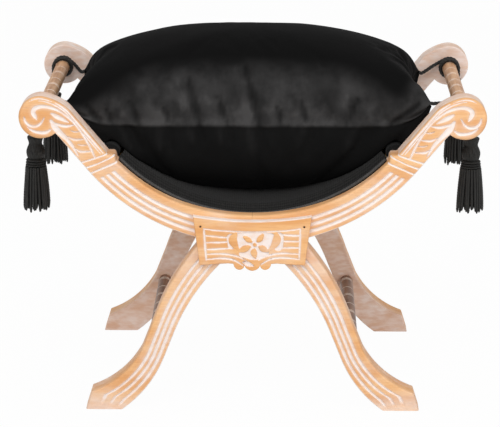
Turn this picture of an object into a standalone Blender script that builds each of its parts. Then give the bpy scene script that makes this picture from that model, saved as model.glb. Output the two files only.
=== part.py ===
"""Limed oak X-frame bench with a sling seat and a loose cushion tied to its handrails.

Metres, +Z up. The origin is on the floor below the middle of the bench, +X runs along its width and the
front of the bench faces -Y.
"""

import bisect
import math

import bmesh
import bpy
from mathutils import Matrix, Vector

# Clearances
FIT_GAP = 0.0003
SOFT_GAP = 0.0004

# The two X frames
FRAME_DEPTH = 0.418
FRAME_THICKNESS = 0.038

# U rails: an arc, then a straight arm, then the scroll
RAIL_RADIUS = 0.308
RAIL_WIDTH = 0.042
RAIL_LOW_Z = 0.294
RAIL_CROWN = 0.005
RAIL_CROWN_ANGLE = math.radians(36.0)
ARM_ANGLE = math.radians(50.5)
ARM_TAPER = 0.003
SCROLL_RADIUS = 0.033
SCROLL_REACH = 0.1071
SCROLL_SET_OUT = 0.0239
CURL_RUN = 0.020
CURL_FULLNESS = 0.8
KNUCKLE_ANGLE = math.radians(48.5)
KNUCKLE_WIDTH = 0.016
KNUCKLE_RISE = 0.004

# Rebate in the rails' top for the upholstery
REBATE_DEPTH = 0.006
REBATE_LIP = 0.018
SEAT_ANGLE = math.radians(46.0)

# Legs: an outward arc under the rail, a straight knee and a reverse arc down to the toe
LEG_SPACING = 0.030
LEG_TOP_ANGLE = math.radians(38.0)
LEG_KNEE_ANGLE = math.radians(68.5)
LEG_FLOOR_ANGLE = math.radians(36.0)
LEG_TOE_ANGLE = math.radians(27.0)
LEG_UPPER_RADIUS = 0.340
LEG_LOWER_RADIUS = 0.193
LEG_TOP_WIDTH = 0.048
LEG_KNEE_WIDTH = 0.037
LEG_FOOT_WIDTH = 0.050
TOE_RAKE = 0.009

# Loose tenons
TENON_THICKNESS = 0.010
TENON_WIDTH = 0.024
TENON_LENGTH = 0.040
LEG_TENON_SHARE = 0.62

# Plaques
PLAQUE_HALF_WIDTH = 0.0915
PLAQUE_HEIGHT = 0.0715
PLAQUE_TAPER = 0.010
PLAQUE_DIP = 0.008
PLAQUE_DROP = 0.001
PLAQUE_THICKNESS = 0.010
PLAQUE_SIDE_BORDER = 0.018
PLAQUE_UPPER_BORDER = 0.0165
PLAQUE_LOWER_BORDER = 0.008
PLAQUE_RECESS = 0.0025
PLAQUE_ARCH = 0.003
CENTRE_LOBE_RADIUS = 0.012
SIDE_LOBE_RADIUS = 0.0085
LOBE_DEPTH = 0.009
NAIL_DIAMETER = 0.003
NAIL_LENGTH = 0.026
NAIL_SINK = 0.001
NAIL_X = 0.0800

# Turned rods
HANDRAIL_DIAMETER = 0.023
HANDRAIL_TENON_DIAMETER = 0.016
STRETCHER_DIAMETER = 0.022
STRETCHER_TENON_DIAMETER = 0.014
ROD_TENON_LENGTH = 0.024
RING_COUNT = 8
RING_GROOVE = 0.0012
RING_GROOVE_WIDTH = 0.005

# Seat upholstery
STRAP_COUNT = 5
STRAP_WIDTH = 0.050
STRAP_THICKNESS = 0.002
BASE_CLOTH_THICKNESS = 0.001
SEAT_PAD_THICKNESS = 0.010
SEAT_PAD_MARGIN = 0.012
SEAT_COVER_THICKNESS = 0.0015
BRAID_DIAMETER = 0.006
ROLL_DIAMETER = 0.024

# Cushion
CUSHION_HALF_WIDTH = 0.281
CUSHION_OFF_CENTRE = -0.007
CUSHION_HALF_DEPTH = 0.160
CUSHION_SEAM_Z = 0.450
CUSHION_FRONT_EAR_RISE = 0.037
CUSHION_REAR_EAR_RISE = 0.014
CUSHION_EAR_SHARPNESS = 12
CUSHION_CROWN = 0.125
CUSHION_BELLY = 0.135
CUSHION_DRAW_IN = 0.06
CUSHION_SIDE_DRAW_IN = 0.088
CUSHION_CORNER_SHARPNESS = 8
CUSHION_PLUMPNESS = 0.57
CUSHION_SIDE_PLUMPNESS = 0.54
CUSHION_CLIMB_SHARE = 0.67
CUSHION_OVERHANG_ANGLE = math.radians(35.0)
CUSHION_COVER_THICKNESS = 0.0015

# Ties and tassels
CORD_DIAMETER = 0.006
TIE_TURNS = 2.25
TIE_PITCH = 0.0068
TIE_STANDOFF = 0.010
TIE_BOW = 0.001
KNOT_RADIUS = 0.005
KNOT_DROP = 0.018
TASSEL_CORD_LENGTH = 0.019
TASSEL_HEAD_DIAMETER = 0.029
TASSEL_HEAD_LENGTH = 0.037
TASSEL_HEAD_SHAPE = ((0.05, 0.84), (0.14, 0.86), (0.36, 0.72), (0.52, 0.86), (0.70, 1.0), (0.88, 0.96), (1.0, 0.84))
TASSEL_BINDING_DIAMETER = 0.033
TASSEL_BINDING_LENGTH = 0.012
TASSEL_SKIRT_DIAMETER = 0.044
TASSEL_SKIRT_LENGTH = 0.072

# Facets
ARC_STEPS = 24
SCROLL_STEPS = 18
CURL_STEPS = 6
ROD_SIDES = 10
CUSHION_COLUMNS = 44
CUSHION_ROWS = 10
LOOP_POINTS = 24

# Derived places
INNER_FACE = FRAME_DEPTH / 2 - FRAME_THICKNESS
FRAME_MIDDLE = FRAME_DEPTH / 2 - FRAME_THICKNESS / 2
RAIL_CENTRE_Z = RAIL_LOW_Z + RAIL_RADIUS
RAIL_TOP_RADIUS = RAIL_RADIUS - RAIL_WIDTH / 2
RAIL_UNDER_RADIUS = RAIL_RADIUS + RAIL_WIDTH / 2
REBATE_RADIUS = RAIL_TOP_RADIUS + REBATE_DEPTH
REBATE_SHOULDER = FRAME_DEPTH / 2 - REBATE_LIP
STRAP_TOP_RADIUS = REBATE_RADIUS - FIT_GAP - STRAP_THICKNESS
BASE_TOP_RADIUS = STRAP_TOP_RADIUS - FIT_GAP - BASE_CLOTH_THICKNESS
PAD_TOP_RADIUS = BASE_TOP_RADIUS - FIT_GAP - SEAT_PAD_THICKNESS
COVER_EDGE_RADIUS = BASE_TOP_RADIUS - FIT_GAP
COVER_CROWN_RADIUS = PAD_TOP_RADIUS - FIT_GAP
SEAT_TOP_RADIUS = COVER_CROWN_RADIUS - SEAT_COVER_THICKNESS
ARM_ALONG = Vector((math.cos(ARM_ANGLE), math.sin(ARM_ANGLE)))
ARM_ACROSS = Vector((-math.sin(ARM_ANGLE), math.cos(ARM_ANGLE)))
SIDES = {"left": -1, "right": 1}
ENDS = {"front": -1, "rear": 1}


# Scene, collections and finishes

def clear_scene():
    for old in list(bpy.data.objects):
        bpy.data.objects.remove(old, do_unlink=True)


def new_collection(name):
    collection = bpy.data.collections.new(name)
    bpy.context.scene.collection.children.link(collection)
    return collection


def finish(name, colour, roughness, metallic=0.0):
    material = bpy.data.materials.new(name)
    material.use_nodes = True
    shader = material.node_tree.nodes["Principled BSDF"]
    shader.inputs["Base Color"].default_value = (*colour, 1.0)
    shader.inputs["Roughness"].default_value = roughness
    shader.inputs["Metallic"].default_value = metallic
    return material


clear_scene()
BENCH = new_collection("oak_bench")
CUTTERS = new_collection("cutters")
LIMED_OAK = finish("limed_oak", (0.60, 0.36, 0.19), 0.55)
TURNED_OAK = finish("turned_oak", (0.30, 0.16, 0.10), 0.50)
BEECH = finish("beech_tenon", (0.66, 0.48, 0.30), 0.60)
NAIL_STEEL = finish("nail_steel", (0.12, 0.11, 0.10), 0.45, 1.0)
WEBBING = finish("webbing", (0.30, 0.24, 0.16), 0.90)
BASE_CLOTH = finish("base_cloth", (0.36, 0.28, 0.18), 0.95)
FOAM = finish("foam", (0.72, 0.66, 0.50), 0.90)
SEAT_CLOTH = finish("seat_cloth", (0.035, 0.035, 0.038), 0.85)
VELVET = finish("velvet", (0.010, 0.010, 0.011), 0.80)
FIBRE = finish("filling_fibre", (0.80, 0.79, 0.75), 0.95)
TRIM = finish("black_trim", (0.012, 0.012, 0.013), 0.75)


# Modelling helpers

def show(obj, material, smooth_angle=None):
    """Put a finished piece in the bench's collection with its material."""
    BENCH.objects.link(obj)
    obj.data.materials.clear()
    obj.data.materials.append(material)
    if smooth_angle is not None and obj.type == "MESH":
        obj.data.shade_smooth()
        obj.data.set_sharp_from_angle(angle=math.radians(smooth_angle))
    return obj


def mesh_object(name, shape):
    """Turn a bmesh into an object, with its doubles merged and its faces turned outwards."""
    bmesh.ops.remove_doubles(shape, verts=shape.verts, dist=0.00001)
    bmesh.ops.recalc_face_normals(shape, faces=shape.faces)
    if shape.calc_volume(signed=True) < 0:
        bmesh.ops.reverse_faces(shape, faces=shape.faces)
    mesh = bpy.data.meshes.new(name)
    shape.to_mesh(mesh)
    shape.free()
    return bpy.data.objects.new(name, mesh)


def meshed(curve_object):
    """Make a curve object a welded mesh object in its place."""
    BENCH.objects.link(curve_object)
    bpy.context.view_layer.update()
    graph = bpy.context.evaluated_depsgraph_get()
    mesh = bpy.data.meshes.new_from_object(curve_object.evaluated_get(graph))
    name = curve_object.name
    place = curve_object.matrix_world.copy()
    curve = curve_object.data
    bpy.data.objects.remove(curve_object, do_unlink=True)
    bpy.data.curves.remove(curve)
    shape = bmesh.new()
    shape.from_mesh(mesh)
    bpy.data.meshes.remove(mesh)
    solid = mesh_object(name, shape)
    solid.matrix_world = place
    return solid


def sawn(name, outline, thickness, middle_y):
    """A board sawn to an outline of (x, z) points, with its thickness along Y."""
    curve = bpy.data.curves.new(name, "CURVE")
    curve.dimensions = "2D"
    curve.fill_mode = "BOTH"
    curve.extrude = thickness / 2
    spline = curve.splines.new("POLY")
    spline.points.add(len(outline) - 1)
    for point, (x, z) in zip(spline.points, outline):
        point.co = (x, z, 0.0, 1.0)
    spline.use_cyclic_u = True
    board = bpy.data.objects.new(name, curve)
    board.matrix_world = Matrix.Translation((0, middle_y, 0)) @ Matrix.Rotation(math.pi / 2, 4, "X")
    return meshed(board)


def tube(name, points, diameter, bevel_resolution):
    """A cord or braid along a list of points, with filled ends."""
    curve = bpy.data.curves.new(name, "CURVE")
    curve.dimensions = "3D"
    curve.bevel_depth = diameter / 2
    curve.bevel_resolution = bevel_resolution
    curve.use_fill_caps = True
    spline = curve.splines.new("POLY")
    spline.points.add(len(points) - 1)
    for point, place in zip(spline.points, points):
        point.co = (*place, 1.0)
    return bpy.data.objects.new(name, curve)


def turned(name, profile, sides, place):
    """A turned piece: (radius, height) points from its top to its bottom, spun about the local Z axis."""
    shape = bmesh.new()
    verts = [shape.verts.new((radius, 0.0, height)) for radius, height in profile]
    for upper, lower in zip(verts, verts[1:]):
        shape.edges.new((upper, lower))
    mesh = bpy.data.meshes.new(name)
    shape.to_mesh(mesh)
    shape.free()
    piece = bpy.data.objects.new(name, mesh)
    piece.matrix_world = place
    screw = piece.modifiers.new("turning", "SCREW")
    screw.steps = sides
    screw.render_steps = sides
    screw.use_merge_vertices = True
    screw.merge_threshold = 0.0001
    screw.use_smooth_shade = True
    return piece


def block(name, size, place):
    """A rectangular block of a given size."""
    shape = bmesh.new()
    bmesh.ops.create_cube(shape, size=1.0, matrix=Matrix.Diagonal((*size, 1.0)))
    piece = mesh_object(name, shape)
    piece.matrix_world = place
    return piece


def peg(name, diameter, length, place, sides=ROD_SIDES):
    """A round peg about its local Z axis, centred on its place."""
    shape = bmesh.new()
    radius = diameter / 2
    bmesh.ops.create_cone(shape, cap_ends=True, segments=sides, radius1=radius, radius2=radius, depth=length)
    piece = mesh_object(name, shape)
    piece.matrix_world = place
    return piece


def bore(name, diameter, depth, mouth):
    """A cutter for a blind bore whose flats clear a round tenon, centred on the bore's mouth."""
    across_corners = (diameter + 2 * FIT_GAP) / math.cos(math.pi / ROD_SIDES)
    return peg(name, across_corners, 2 * (depth + FIT_GAP), mouth)


def cut(board, cutter):
    """Cut a board with a cutter that stays in the file as a guide."""
    CUTTERS.objects.link(cutter)
    cutter.hide_render = True
    cutter.display_type = "WIRE"
    difference = board.modifiers.new(cutter.name, "BOOLEAN")
    difference.operation = "DIFFERENCE"
    difference.solver = "EXACT"
    difference.object = cutter


def grid_mesh(columns, rows, place):
    """A bmesh grid whose corners (u, v) in -1..1 are moved by a place function."""
    shape = bmesh.new()
    bmesh.ops.create_grid(shape, x_segments=columns, y_segments=rows, size=1.0)
    for vert in shape.verts:
        vert.co = place(vert.co.x, vert.co.y)
    return shape


def along_y(x, y, z):
    """A place whose local Z axis lies along world Y."""
    return Matrix.Translation((x, y, z)) @ Matrix.Rotation(-math.pi / 2, 4, "X")


# Rails and arms

def rail_point(radius, angle):
    """A point (x, z) about the rail's centre of curvature, with the angle counted from straight down."""
    return Vector((radius * math.sin(angle), RAIL_CENTRE_Z - radius * math.cos(angle)))


def arc_angles(start, stop, steps):
    return [start + (stop - start) * step / steps for step in range(steps + 1)]


def arm_end():
    return rail_point(RAIL_RADIUS, ARM_ANGLE)


def scroll_centre():
    return arm_end() + SCROLL_REACH * ARM_ALONG - SCROLL_SET_OUT * ARM_ACROSS


def arm_top_edge():
    """The rail's upper edge from the middle joint past the knuckle's rise to the slimmer arm."""
    half = KNUCKLE_WIDTH / 2 / RAIL_TOP_RADIUS
    joint = FIT_GAP / 2 / RAIL_TOP_RADIUS
    points = []
    for angle in arc_angles(joint, KNUCKLE_ANGLE - half, ARC_STEPS):
        crown = RAIL_CROWN * math.cos(min(angle / RAIL_CROWN_ANGLE, 1.0) * math.pi / 2) ** 2
        points.append(rail_point(RAIL_TOP_RADIUS - crown, angle))
    for share in (-0.5, 0.0, 0.5):
        rise = KNUCKLE_RISE * math.cos(share * math.pi / 2)
        points.append(rail_point(RAIL_TOP_RADIUS - rise, KNUCKLE_ANGLE + share * half))
    points.append(rail_point(RAIL_TOP_RADIUS + ARM_TAPER, KNUCKLE_ANGLE + half))
    points.append(rail_point(RAIL_TOP_RADIUS + ARM_TAPER, ARM_ANGLE))
    return points


def curl_edge():
    """The upper edge as it curves over from the arm into the top of the scroll."""
    start = arm_end() + (SCROLL_REACH - CURL_RUN) * ARM_ALONG + (RAIL_WIDTH / 2 - ARM_TAPER) * ARM_ACROSS
    stop = scroll_centre() + Vector((0.0, SCROLL_RADIUS))
    pull = CURL_FULLNESS * (stop - start).length
    points = []
    for step in range(CURL_STEPS):
        t = step / CURL_STEPS
        start_weight = 2 * t ** 3 - 3 * t ** 2 + 1
        start_pull = pull * (t ** 3 - 2 * t ** 2 + t)
        stop_pull = pull * (t ** 3 - t ** 2)
        points.append(start_weight * start + (1 - start_weight) * stop
                      + start_pull * ARM_ALONG + stop_pull * Vector((1.0, 0.0)))
    return points


def scroll_edge():
    """The scroll's round edge, from its top round the outside to the notch under the arm."""
    centre = scroll_centre()
    across = SCROLL_SET_OUT - RAIL_WIDTH / 2
    notch = across * ARM_ACROSS - math.sqrt(SCROLL_RADIUS ** 2 - across ** 2) * ARM_ALONG
    notch_angle = math.atan2(notch.y, notch.x)
    points = []
    for angle in arc_angles(math.pi / 2, notch_angle, SCROLL_STEPS):
        points.append(centre + SCROLL_RADIUS * Vector((math.cos(angle), math.sin(angle))))
    return points


def arm_outline():
    under = arc_angles(ARM_ANGLE, FIT_GAP / 2 / RAIL_UNDER_RADIUS, ARC_STEPS)
    return arm_top_edge() + curl_edge() + scroll_edge() + [rail_point(RAIL_UNDER_RADIUS, a) for a in under]


def mirrored(outline, side):
    """An outline for the right (1) or the left (-1) side."""
    return [(side * x, z) for x, z in outline]


def rebate_outline():
    """The sector of rail top that the upholstery fills."""
    stop = SEAT_ANGLE + FIT_GAP / RAIL_TOP_RADIUS
    floor = [rail_point(REBATE_RADIUS, a) for a in arc_angles(-SEAT_ANGLE / ARC_STEPS, stop, ARC_STEPS)]
    above = RAIL_TOP_RADIUS - RAIL_WIDTH
    ceiling = [rail_point(above, a) for a in arc_angles(stop, -SEAT_ANGLE / ARC_STEPS, ARC_STEPS)]
    return floor + ceiling


def leg_joint_place(side, middle_y):
    """Where a leg meets its rail: the local Z axis points along the rail's radius."""
    angle = side * leg_joint_angle()
    x, z = rail_point(RAIL_UNDER_RADIUS + FIT_GAP / 2, abs(angle))
    return Matrix.Translation((side * x, middle_y, z)) @ Matrix.Rotation(-angle, 4, "Y")


def scroll_place(side, middle_y):
    x, z = scroll_centre()
    return along_y(side * x, middle_y, z)


def make_arm(end_name, side_name):
    end, side = ENDS[end_name], SIDES[side_name]
    middle_y = end * FRAME_MIDDLE
    name = f"{end_name}_{side_name}_arm"
    arm = sawn(name, mirrored(arm_outline(), side), FRAME_THICKNESS, middle_y)
    rebate_width = 2 * (REBATE_SHOULDER - INNER_FACE)
    cut(arm, sawn(f"{name}_rebate", mirrored(rebate_outline(), side), rebate_width, end * INNER_FACE))
    mouth = scroll_place(side, end * INNER_FACE)
    cut(arm, bore(f"{name}_bore", HANDRAIL_TENON_DIAMETER, ROD_TENON_LENGTH, mouth))
    cut(arm, block(f"{name}_joint_mortise", mortise_size(), centre_joint_place(middle_y)))
    cut(arm, block(f"{name}_leg_mortise", mortise_size(), leg_joint_place(side, middle_y)))
    nail_place = along_y(side * NAIL_X, end * nail_middle(), nail_height())
    cut(arm, peg(f"{name}_nail_hole", NAIL_DIAMETER + 2 * FIT_GAP, NAIL_LENGTH + 2 * FIT_GAP, nail_place))
    show(arm, LIMED_OAK, 30)


# Loose tenons

def mortise_size():
    slack = 2 * FIT_GAP
    return (TENON_WIDTH + slack, TENON_THICKNESS + slack, TENON_LENGTH + slack)


def centre_joint_place(middle_y):
    """The middle joint of a U rail: the local Z axis points across the joint."""
    return Matrix.Translation((0, middle_y, RAIL_LOW_Z)) @ Matrix.Rotation(math.pi / 2, 4, "Y")


def make_tenons(end_name):
    middle_y = ENDS[end_name] * FRAME_MIDDLE
    size = (TENON_WIDTH, TENON_THICKNESS, TENON_LENGTH)
    show(block(f"{end_name}_rail_tenon", size, centre_joint_place(middle_y)), BEECH)
    for side_name, side in SIDES.items():
        show(block(f"{end_name}_{side_name}_leg_tenon", size, leg_joint_place(side, middle_y)), BEECH)


# Legs

def leg_landmarks():
    """Points on a leg's inner edge and the centres of its two arcs."""
    top_radius = RAIL_UNDER_RADIUS + FIT_GAP
    top = rail_point(top_radius, math.asin(LEG_SPACING / 2 / top_radius))
    upper_centre = top - LEG_UPPER_RADIUS * outward(LEG_TOP_ANGLE)
    knee = upper_centre + LEG_UPPER_RADIUS * outward(LEG_KNEE_ANGLE)
    ankle_z = LEG_LOWER_RADIUS * (math.cos(LEG_FLOOR_ANGLE) - math.cos(LEG_KNEE_ANGLE))
    ankle = Vector((knee.x + (knee.y - ankle_z) / math.tan(LEG_KNEE_ANGLE), ankle_z))
    lower_centre = ankle + LEG_LOWER_RADIUS * outward(LEG_KNEE_ANGLE)
    return upper_centre, knee, ankle, lower_centre


def outward(slope):
    """The direction square to a leg that falls at a slope, pointing out of the X."""
    return Vector((math.sin(slope), math.cos(slope)))


def leg_outer_edge():
    """The outer edge from the toe up to the rail's underside."""
    upper_centre, _, _, lower_centre = leg_landmarks()
    points = []
    for step in range(ARC_STEPS // 2 + 1):
        share = step / (ARC_STEPS // 2)
        slope = LEG_TOE_ANGLE + share * (LEG_KNEE_ANGLE - LEG_TOE_ANGLE)
        width = LEG_FOOT_WIDTH + share * (LEG_KNEE_WIDTH - LEG_FOOT_WIDTH)
        points.append(lower_centre - (LEG_LOWER_RADIUS - width) * outward(slope))
    rail_middle = Vector((0.0, RAIL_CENTRE_Z))
    for step in range(ARC_STEPS + 1):
        share = step / ARC_STEPS
        slope = LEG_KNEE_ANGLE + share * (LEG_TOP_ANGLE - LEG_KNEE_ANGLE)
        width = LEG_KNEE_WIDTH + share * (LEG_TOP_WIDTH - LEG_KNEE_WIDTH)
        point = upper_centre + (LEG_UPPER_RADIUS + width) * outward(slope)
        if (point - rail_middle).length <= RAIL_UNDER_RADIUS + FIT_GAP:
            break
        points.append(point)
    return points


def leg_top_angles():
    """The angles about the rail's centre between which a leg's top lies."""
    last = leg_outer_edge()[-1]
    outer = math.atan2(last.x, RAIL_CENTRE_Z - last.y)
    inner = math.asin(LEG_SPACING / 2 / (RAIL_UNDER_RADIUS + FIT_GAP))
    return outer, inner


def leg_joint_angle():
    """Where the tenon stands on the leg's top, as a share of the way from its inner to its outer corner."""
    outer, inner = leg_top_angles()
    return inner + LEG_TENON_SHARE * (outer - inner)


def leg_outline():
    upper_centre, _, _, lower_centre = leg_landmarks()
    top = [rail_point(RAIL_UNDER_RADIUS + FIT_GAP, a) for a in arc_angles(*leg_top_angles(), ARC_STEPS // 3)]
    upper = [upper_centre + LEG_UPPER_RADIUS * outward(a)
             for a in arc_angles(LEG_TOP_ANGLE, LEG_KNEE_ANGLE, ARC_STEPS // 2)]
    lower = [lower_centre - LEG_LOWER_RADIUS * outward(a)
             for a in arc_angles(LEG_KNEE_ANGLE, LEG_FLOOR_ANGLE, ARC_STEPS // 2)]
    lower[-1].y = 0.0
    outer = leg_outer_edge()
    toe = Vector((outer[0].x + TOE_RAKE, 0.0))
    return top + upper[1:] + lower + [toe] + outer


def stretcher_point():
    """The middle of a leg at its ankle, where the stretcher enters."""
    _, _, ankle, _ = leg_landmarks()
    return ankle + LEG_KNEE_WIDTH / 2 * outward(LEG_KNEE_ANGLE)


def stretcher_place(side, middle_y):
    x, z = stretcher_point()
    return along_y(side * x, middle_y, z)


def make_leg(end_name, side_name):
    end, side = ENDS[end_name], SIDES[side_name]
    middle_y = end * FRAME_MIDDLE
    name = f"{end_name}_{side_name}_leg"
    leg = sawn(name, mirrored(leg_outline(), side), FRAME_THICKNESS, middle_y)
    mouth = stretcher_place(side, end * INNER_FACE)
    cut(leg, bore(f"{name}_bore", STRETCHER_TENON_DIAMETER, ROD_TENON_LENGTH, mouth))
    cut(leg, block(f"{name}_mortise", mortise_size(), leg_joint_place(side, middle_y)))
    show(leg, LIMED_OAK, 30)


# Plaques and their nails

def plaque_top():
    return RAIL_LOW_Z + RAIL_WIDTH / 2 - PLAQUE_DROP


def nail_height():
    return rail_point(RAIL_RADIUS, math.asin(NAIL_X / RAIL_RADIUS)).y


def nail_middle():
    """How far from the middle of the bench a nail's middle lies."""
    return FRAME_DEPTH / 2 + FIT_GAP + PLAQUE_THICKNESS - NAIL_SINK - NAIL_LENGTH / 2


def plaque_top_edge(half_width, height):
    """The plaque's hollow upper edge, or the like edge of its field, from left to right."""
    shares = [step / 4 - 1 for step in range(9)]
    return [(half_width * share, height + PLAQUE_DIP * share ** 2) for share in shares]


def plaque_outline():
    """The plaque: a hollow top, tapered sides and a lower edge with three scallops."""
    foot = PLAQUE_HALF_WIDTH - PLAQUE_TAPER
    low = plaque_top() - PLAQUE_HEIGHT
    side_lobe = CENTRE_LOBE_RADIUS + SIDE_LOBE_RADIUS
    lobes = [(side_lobe, SIDE_LOBE_RADIUS), (0.0, CENTRE_LOBE_RADIUS), (-side_lobe, SIDE_LOBE_RADIUS)]
    shoulder = side_lobe + 2 * SIDE_LOBE_RADIUS
    points = plaque_top_edge(PLAQUE_HALF_WIDTH, plaque_top())
    points += [(foot, low), (shoulder, low + PLAQUE_ARCH)]
    for middle, radius in lobes:
        for step in range(1, 6):
            angle = math.pi * (step - 0.5) / 5
            x = middle + radius * math.cos(angle)
            hang = PLAQUE_ARCH * abs(x) / shoulder
            points.append((x, low + hang - LOBE_DEPTH * math.sin(angle)))
    points += [(-shoulder, low + PLAQUE_ARCH), (-foot, low)]
    return points


def field_outline():
    """The sunk field inside the plaque's border."""
    half = PLAQUE_HALF_WIDTH - PLAQUE_SIDE_BORDER
    foot = half - PLAQUE_TAPER / 2
    low = plaque_top() - PLAQUE_HEIGHT + PLAQUE_LOWER_BORDER
    return plaque_top_edge(half, plaque_top() - PLAQUE_UPPER_BORDER) + [(foot, low), (-foot, low)]


def make_plaque(end_name):
    end = ENDS[end_name]
    name = f"{end_name}_plaque"
    face = FRAME_DEPTH / 2 + FIT_GAP + PLAQUE_THICKNESS
    plaque = sawn(name, plaque_outline(), PLAQUE_THICKNESS, end * (face - PLAQUE_THICKNESS / 2))
    cut(plaque, sawn(f"{name}_field", field_outline(), 2 * PLAQUE_RECESS, end * face))
    for side_name, side in SIDES.items():
        place = along_y(side * NAIL_X, end * nail_middle(), nail_height())
        hole_length = NAIL_LENGTH + 4 * NAIL_SINK
        cut(plaque, peg(f"{name}_{side_name}_hole", NAIL_DIAMETER + 2 * FIT_GAP, hole_length, place))
        show(peg(f"{end_name}_{side_name}_plaque_nail", NAIL_DIAMETER, NAIL_LENGTH, place), NAIL_STEEL, 40)
    show(plaque, LIMED_OAK, 30)


# Ring-turned rods

def rod_profile(diameter, tenon_diameter):
    """Half of a rod's outline from its top end to its bottom end, with round tenons and cut rings."""
    radius, tenon = diameter / 2, tenon_diameter / 2
    shoulder = INNER_FACE - FIT_GAP
    tip = INNER_FACE + ROD_TENON_LENGTH - FIT_GAP
    profile = [(0.0, tip), (tenon, tip), (tenon, shoulder), (radius, shoulder)]
    spacing = 2 * shoulder / RING_COUNT
    for ring in range(RING_COUNT):
        middle = shoulder - spacing * (ring + 0.5)
        profile.append((radius, middle + RING_GROOVE_WIDTH / 2))
        profile.append((radius - RING_GROOVE, middle))
        profile.append((radius, middle - RING_GROOVE_WIDTH / 2))
    profile += [(radius, -shoulder), (tenon, -shoulder), (tenon, -tip), (0.0, -tip)]
    return profile


def make_rods(side_name):
    side = SIDES[side_name]
    rail = rod_profile(HANDRAIL_DIAMETER, HANDRAIL_TENON_DIAMETER)
    show(turned(f"{side_name}_handrail", rail, ROD_SIDES, scroll_place(side, 0.0)), TURNED_OAK)
    stretcher = rod_profile(STRETCHER_DIAMETER, STRETCHER_TENON_DIAMETER)
    show(turned(f"{side_name}_stretcher", stretcher, ROD_SIDES, stretcher_place(side, 0.0)), TURNED_OAK)


# Sling seat

def sling_sheet(name, radius, thickness, half_angle, middle_angle, half_depth, steps):
    """A sheet that follows the U rails, with its lower face at a radius and its thickness upwards."""
    def place(u, v):
        x, z = rail_point(radius, middle_angle + u * half_angle)
        return Vector((x, v * half_depth, z))
    sheet = mesh_object(name, grid_mesh(steps, 1, place))
    thicken(sheet, thickness)
    return sheet


def thicken(sheet, thickness):
    """Give a sheet that faces upwards its thickness on that side."""
    if sheet.data.polygons[0].normal.z < 0:
        sheet.data.flip_normals()
    solidify = sheet.modifiers.new("thickness", "SOLIDIFY")
    solidify.thickness = thickness
    solidify.offset = 1.0
    solidify.use_even_offset = True


def seat_cover_rows():
    """The cover's section from front to rear: (y, radius of its underside)."""
    edge = REBATE_SHOULDER - FIT_GAP
    pad = INNER_FACE - SEAT_PAD_MARGIN + FIT_GAP
    foot = pad + SEAT_PAD_MARGIN / 2
    half = [(pad, COVER_CROWN_RADIUS), (foot, COVER_EDGE_RADIUS), (edge, COVER_EDGE_RADIUS)]
    return [(-y, radius) for y, radius in reversed(half)] + half


def make_seat():
    reach = REBATE_SHOULDER - FIT_GAP
    strap_angle = STRAP_WIDTH / 2 / REBATE_RADIUS
    spread = SEAT_ANGLE - strap_angle
    for strap in range(STRAP_COUNT):
        middle = spread * (2 * strap / (STRAP_COUNT - 1) - 1)
        radius = REBATE_RADIUS - FIT_GAP
        name = f"seat_strap_{strap + 1}"
        show(sling_sheet(name, radius, STRAP_THICKNESS, strap_angle, middle, reach, 3), WEBBING, 30)
    base_radius = STRAP_TOP_RADIUS - FIT_GAP
    base = sling_sheet("seat_base_cloth", base_radius, BASE_CLOTH_THICKNESS, SEAT_ANGLE, 0.0, reach, ARC_STEPS)
    show(base, BASE_CLOTH, 30)
    pad_depth = INNER_FACE - SEAT_PAD_MARGIN
    pad_radius = BASE_TOP_RADIUS - FIT_GAP
    pad_angle = SEAT_ANGLE - SEAT_PAD_MARGIN / REBATE_RADIUS
    pad = sling_sheet("seat_pad", pad_radius, SEAT_PAD_THICKNESS, pad_angle, 0.0, pad_depth, ARC_STEPS)
    show(pad, FOAM, 30)
    rows = seat_cover_rows()

    def cover_place(u, v):
        y, radius = rows[round((v + 1) / 2 * (len(rows) - 1))]
        x, z = rail_point(radius, u * SEAT_ANGLE)
        return Vector((x, y, z))
    cover = mesh_object("seat_cover", grid_mesh(ARC_STEPS, len(rows) - 1, cover_place))
    thicken(cover, SEAT_COVER_THICKNESS)
    show(cover, SEAT_CLOTH, 50)


def make_braid(end_name):
    """The braid that covers the tacked edge of the seat cover."""
    radius = COVER_EDGE_RADIUS - SEAT_COVER_THICKNESS - SOFT_GAP - BRAID_DIAMETER / 2
    y = ENDS[end_name] * (REBATE_SHOULDER - BRAID_DIAMETER / 2)
    points = []
    for angle in arc_angles(-SEAT_ANGLE, SEAT_ANGLE, ARC_STEPS):
        x, z = rail_point(radius, angle)
        points.append((x, y, z))
    show(tube(f"{end_name}_braid", points, BRAID_DIAMETER, 1), TRIM)


def make_roll(side_name):
    """The stuffed roll that closes an end of the seat."""
    angle = SEAT_ANGLE + (ROLL_DIAMETER / 2 + SOFT_GAP) / SEAT_TOP_RADIUS
    x, z = rail_point(COVER_CROWN_RADIUS + ROLL_DIAMETER / 2, angle)
    length = 2 * (INNER_FACE - SOFT_GAP)
    roll = peg(f"{side_name}_seat_roll", ROLL_DIAMETER, length, along_y(SIDES[side_name] * x, 0.0, z))
    show(roll, SEAT_CLOTH, 40)


# Cushion

def sling_height(x):
    """The height of what the cushion rests on: the seat's top, then over the roll and down past it."""
    end = rail_point(SEAT_TOP_RADIUS, SEAT_ANGLE)
    if abs(x) <= end.x:
        return RAIL_CENTRE_Z - math.sqrt(SEAT_TOP_RADIUS ** 2 - x ** 2)
    past = abs(x) - end.x
    climb = min(past, CUSHION_CLIMB_SHARE * ROLL_DIAMETER)
    overhang = max(past - ROLL_DIAMETER, 0.0)
    return end.y + climb * math.tan(SEAT_ANGLE) - overhang * math.tan(CUSHION_OVERHANG_ANGLE)


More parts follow.
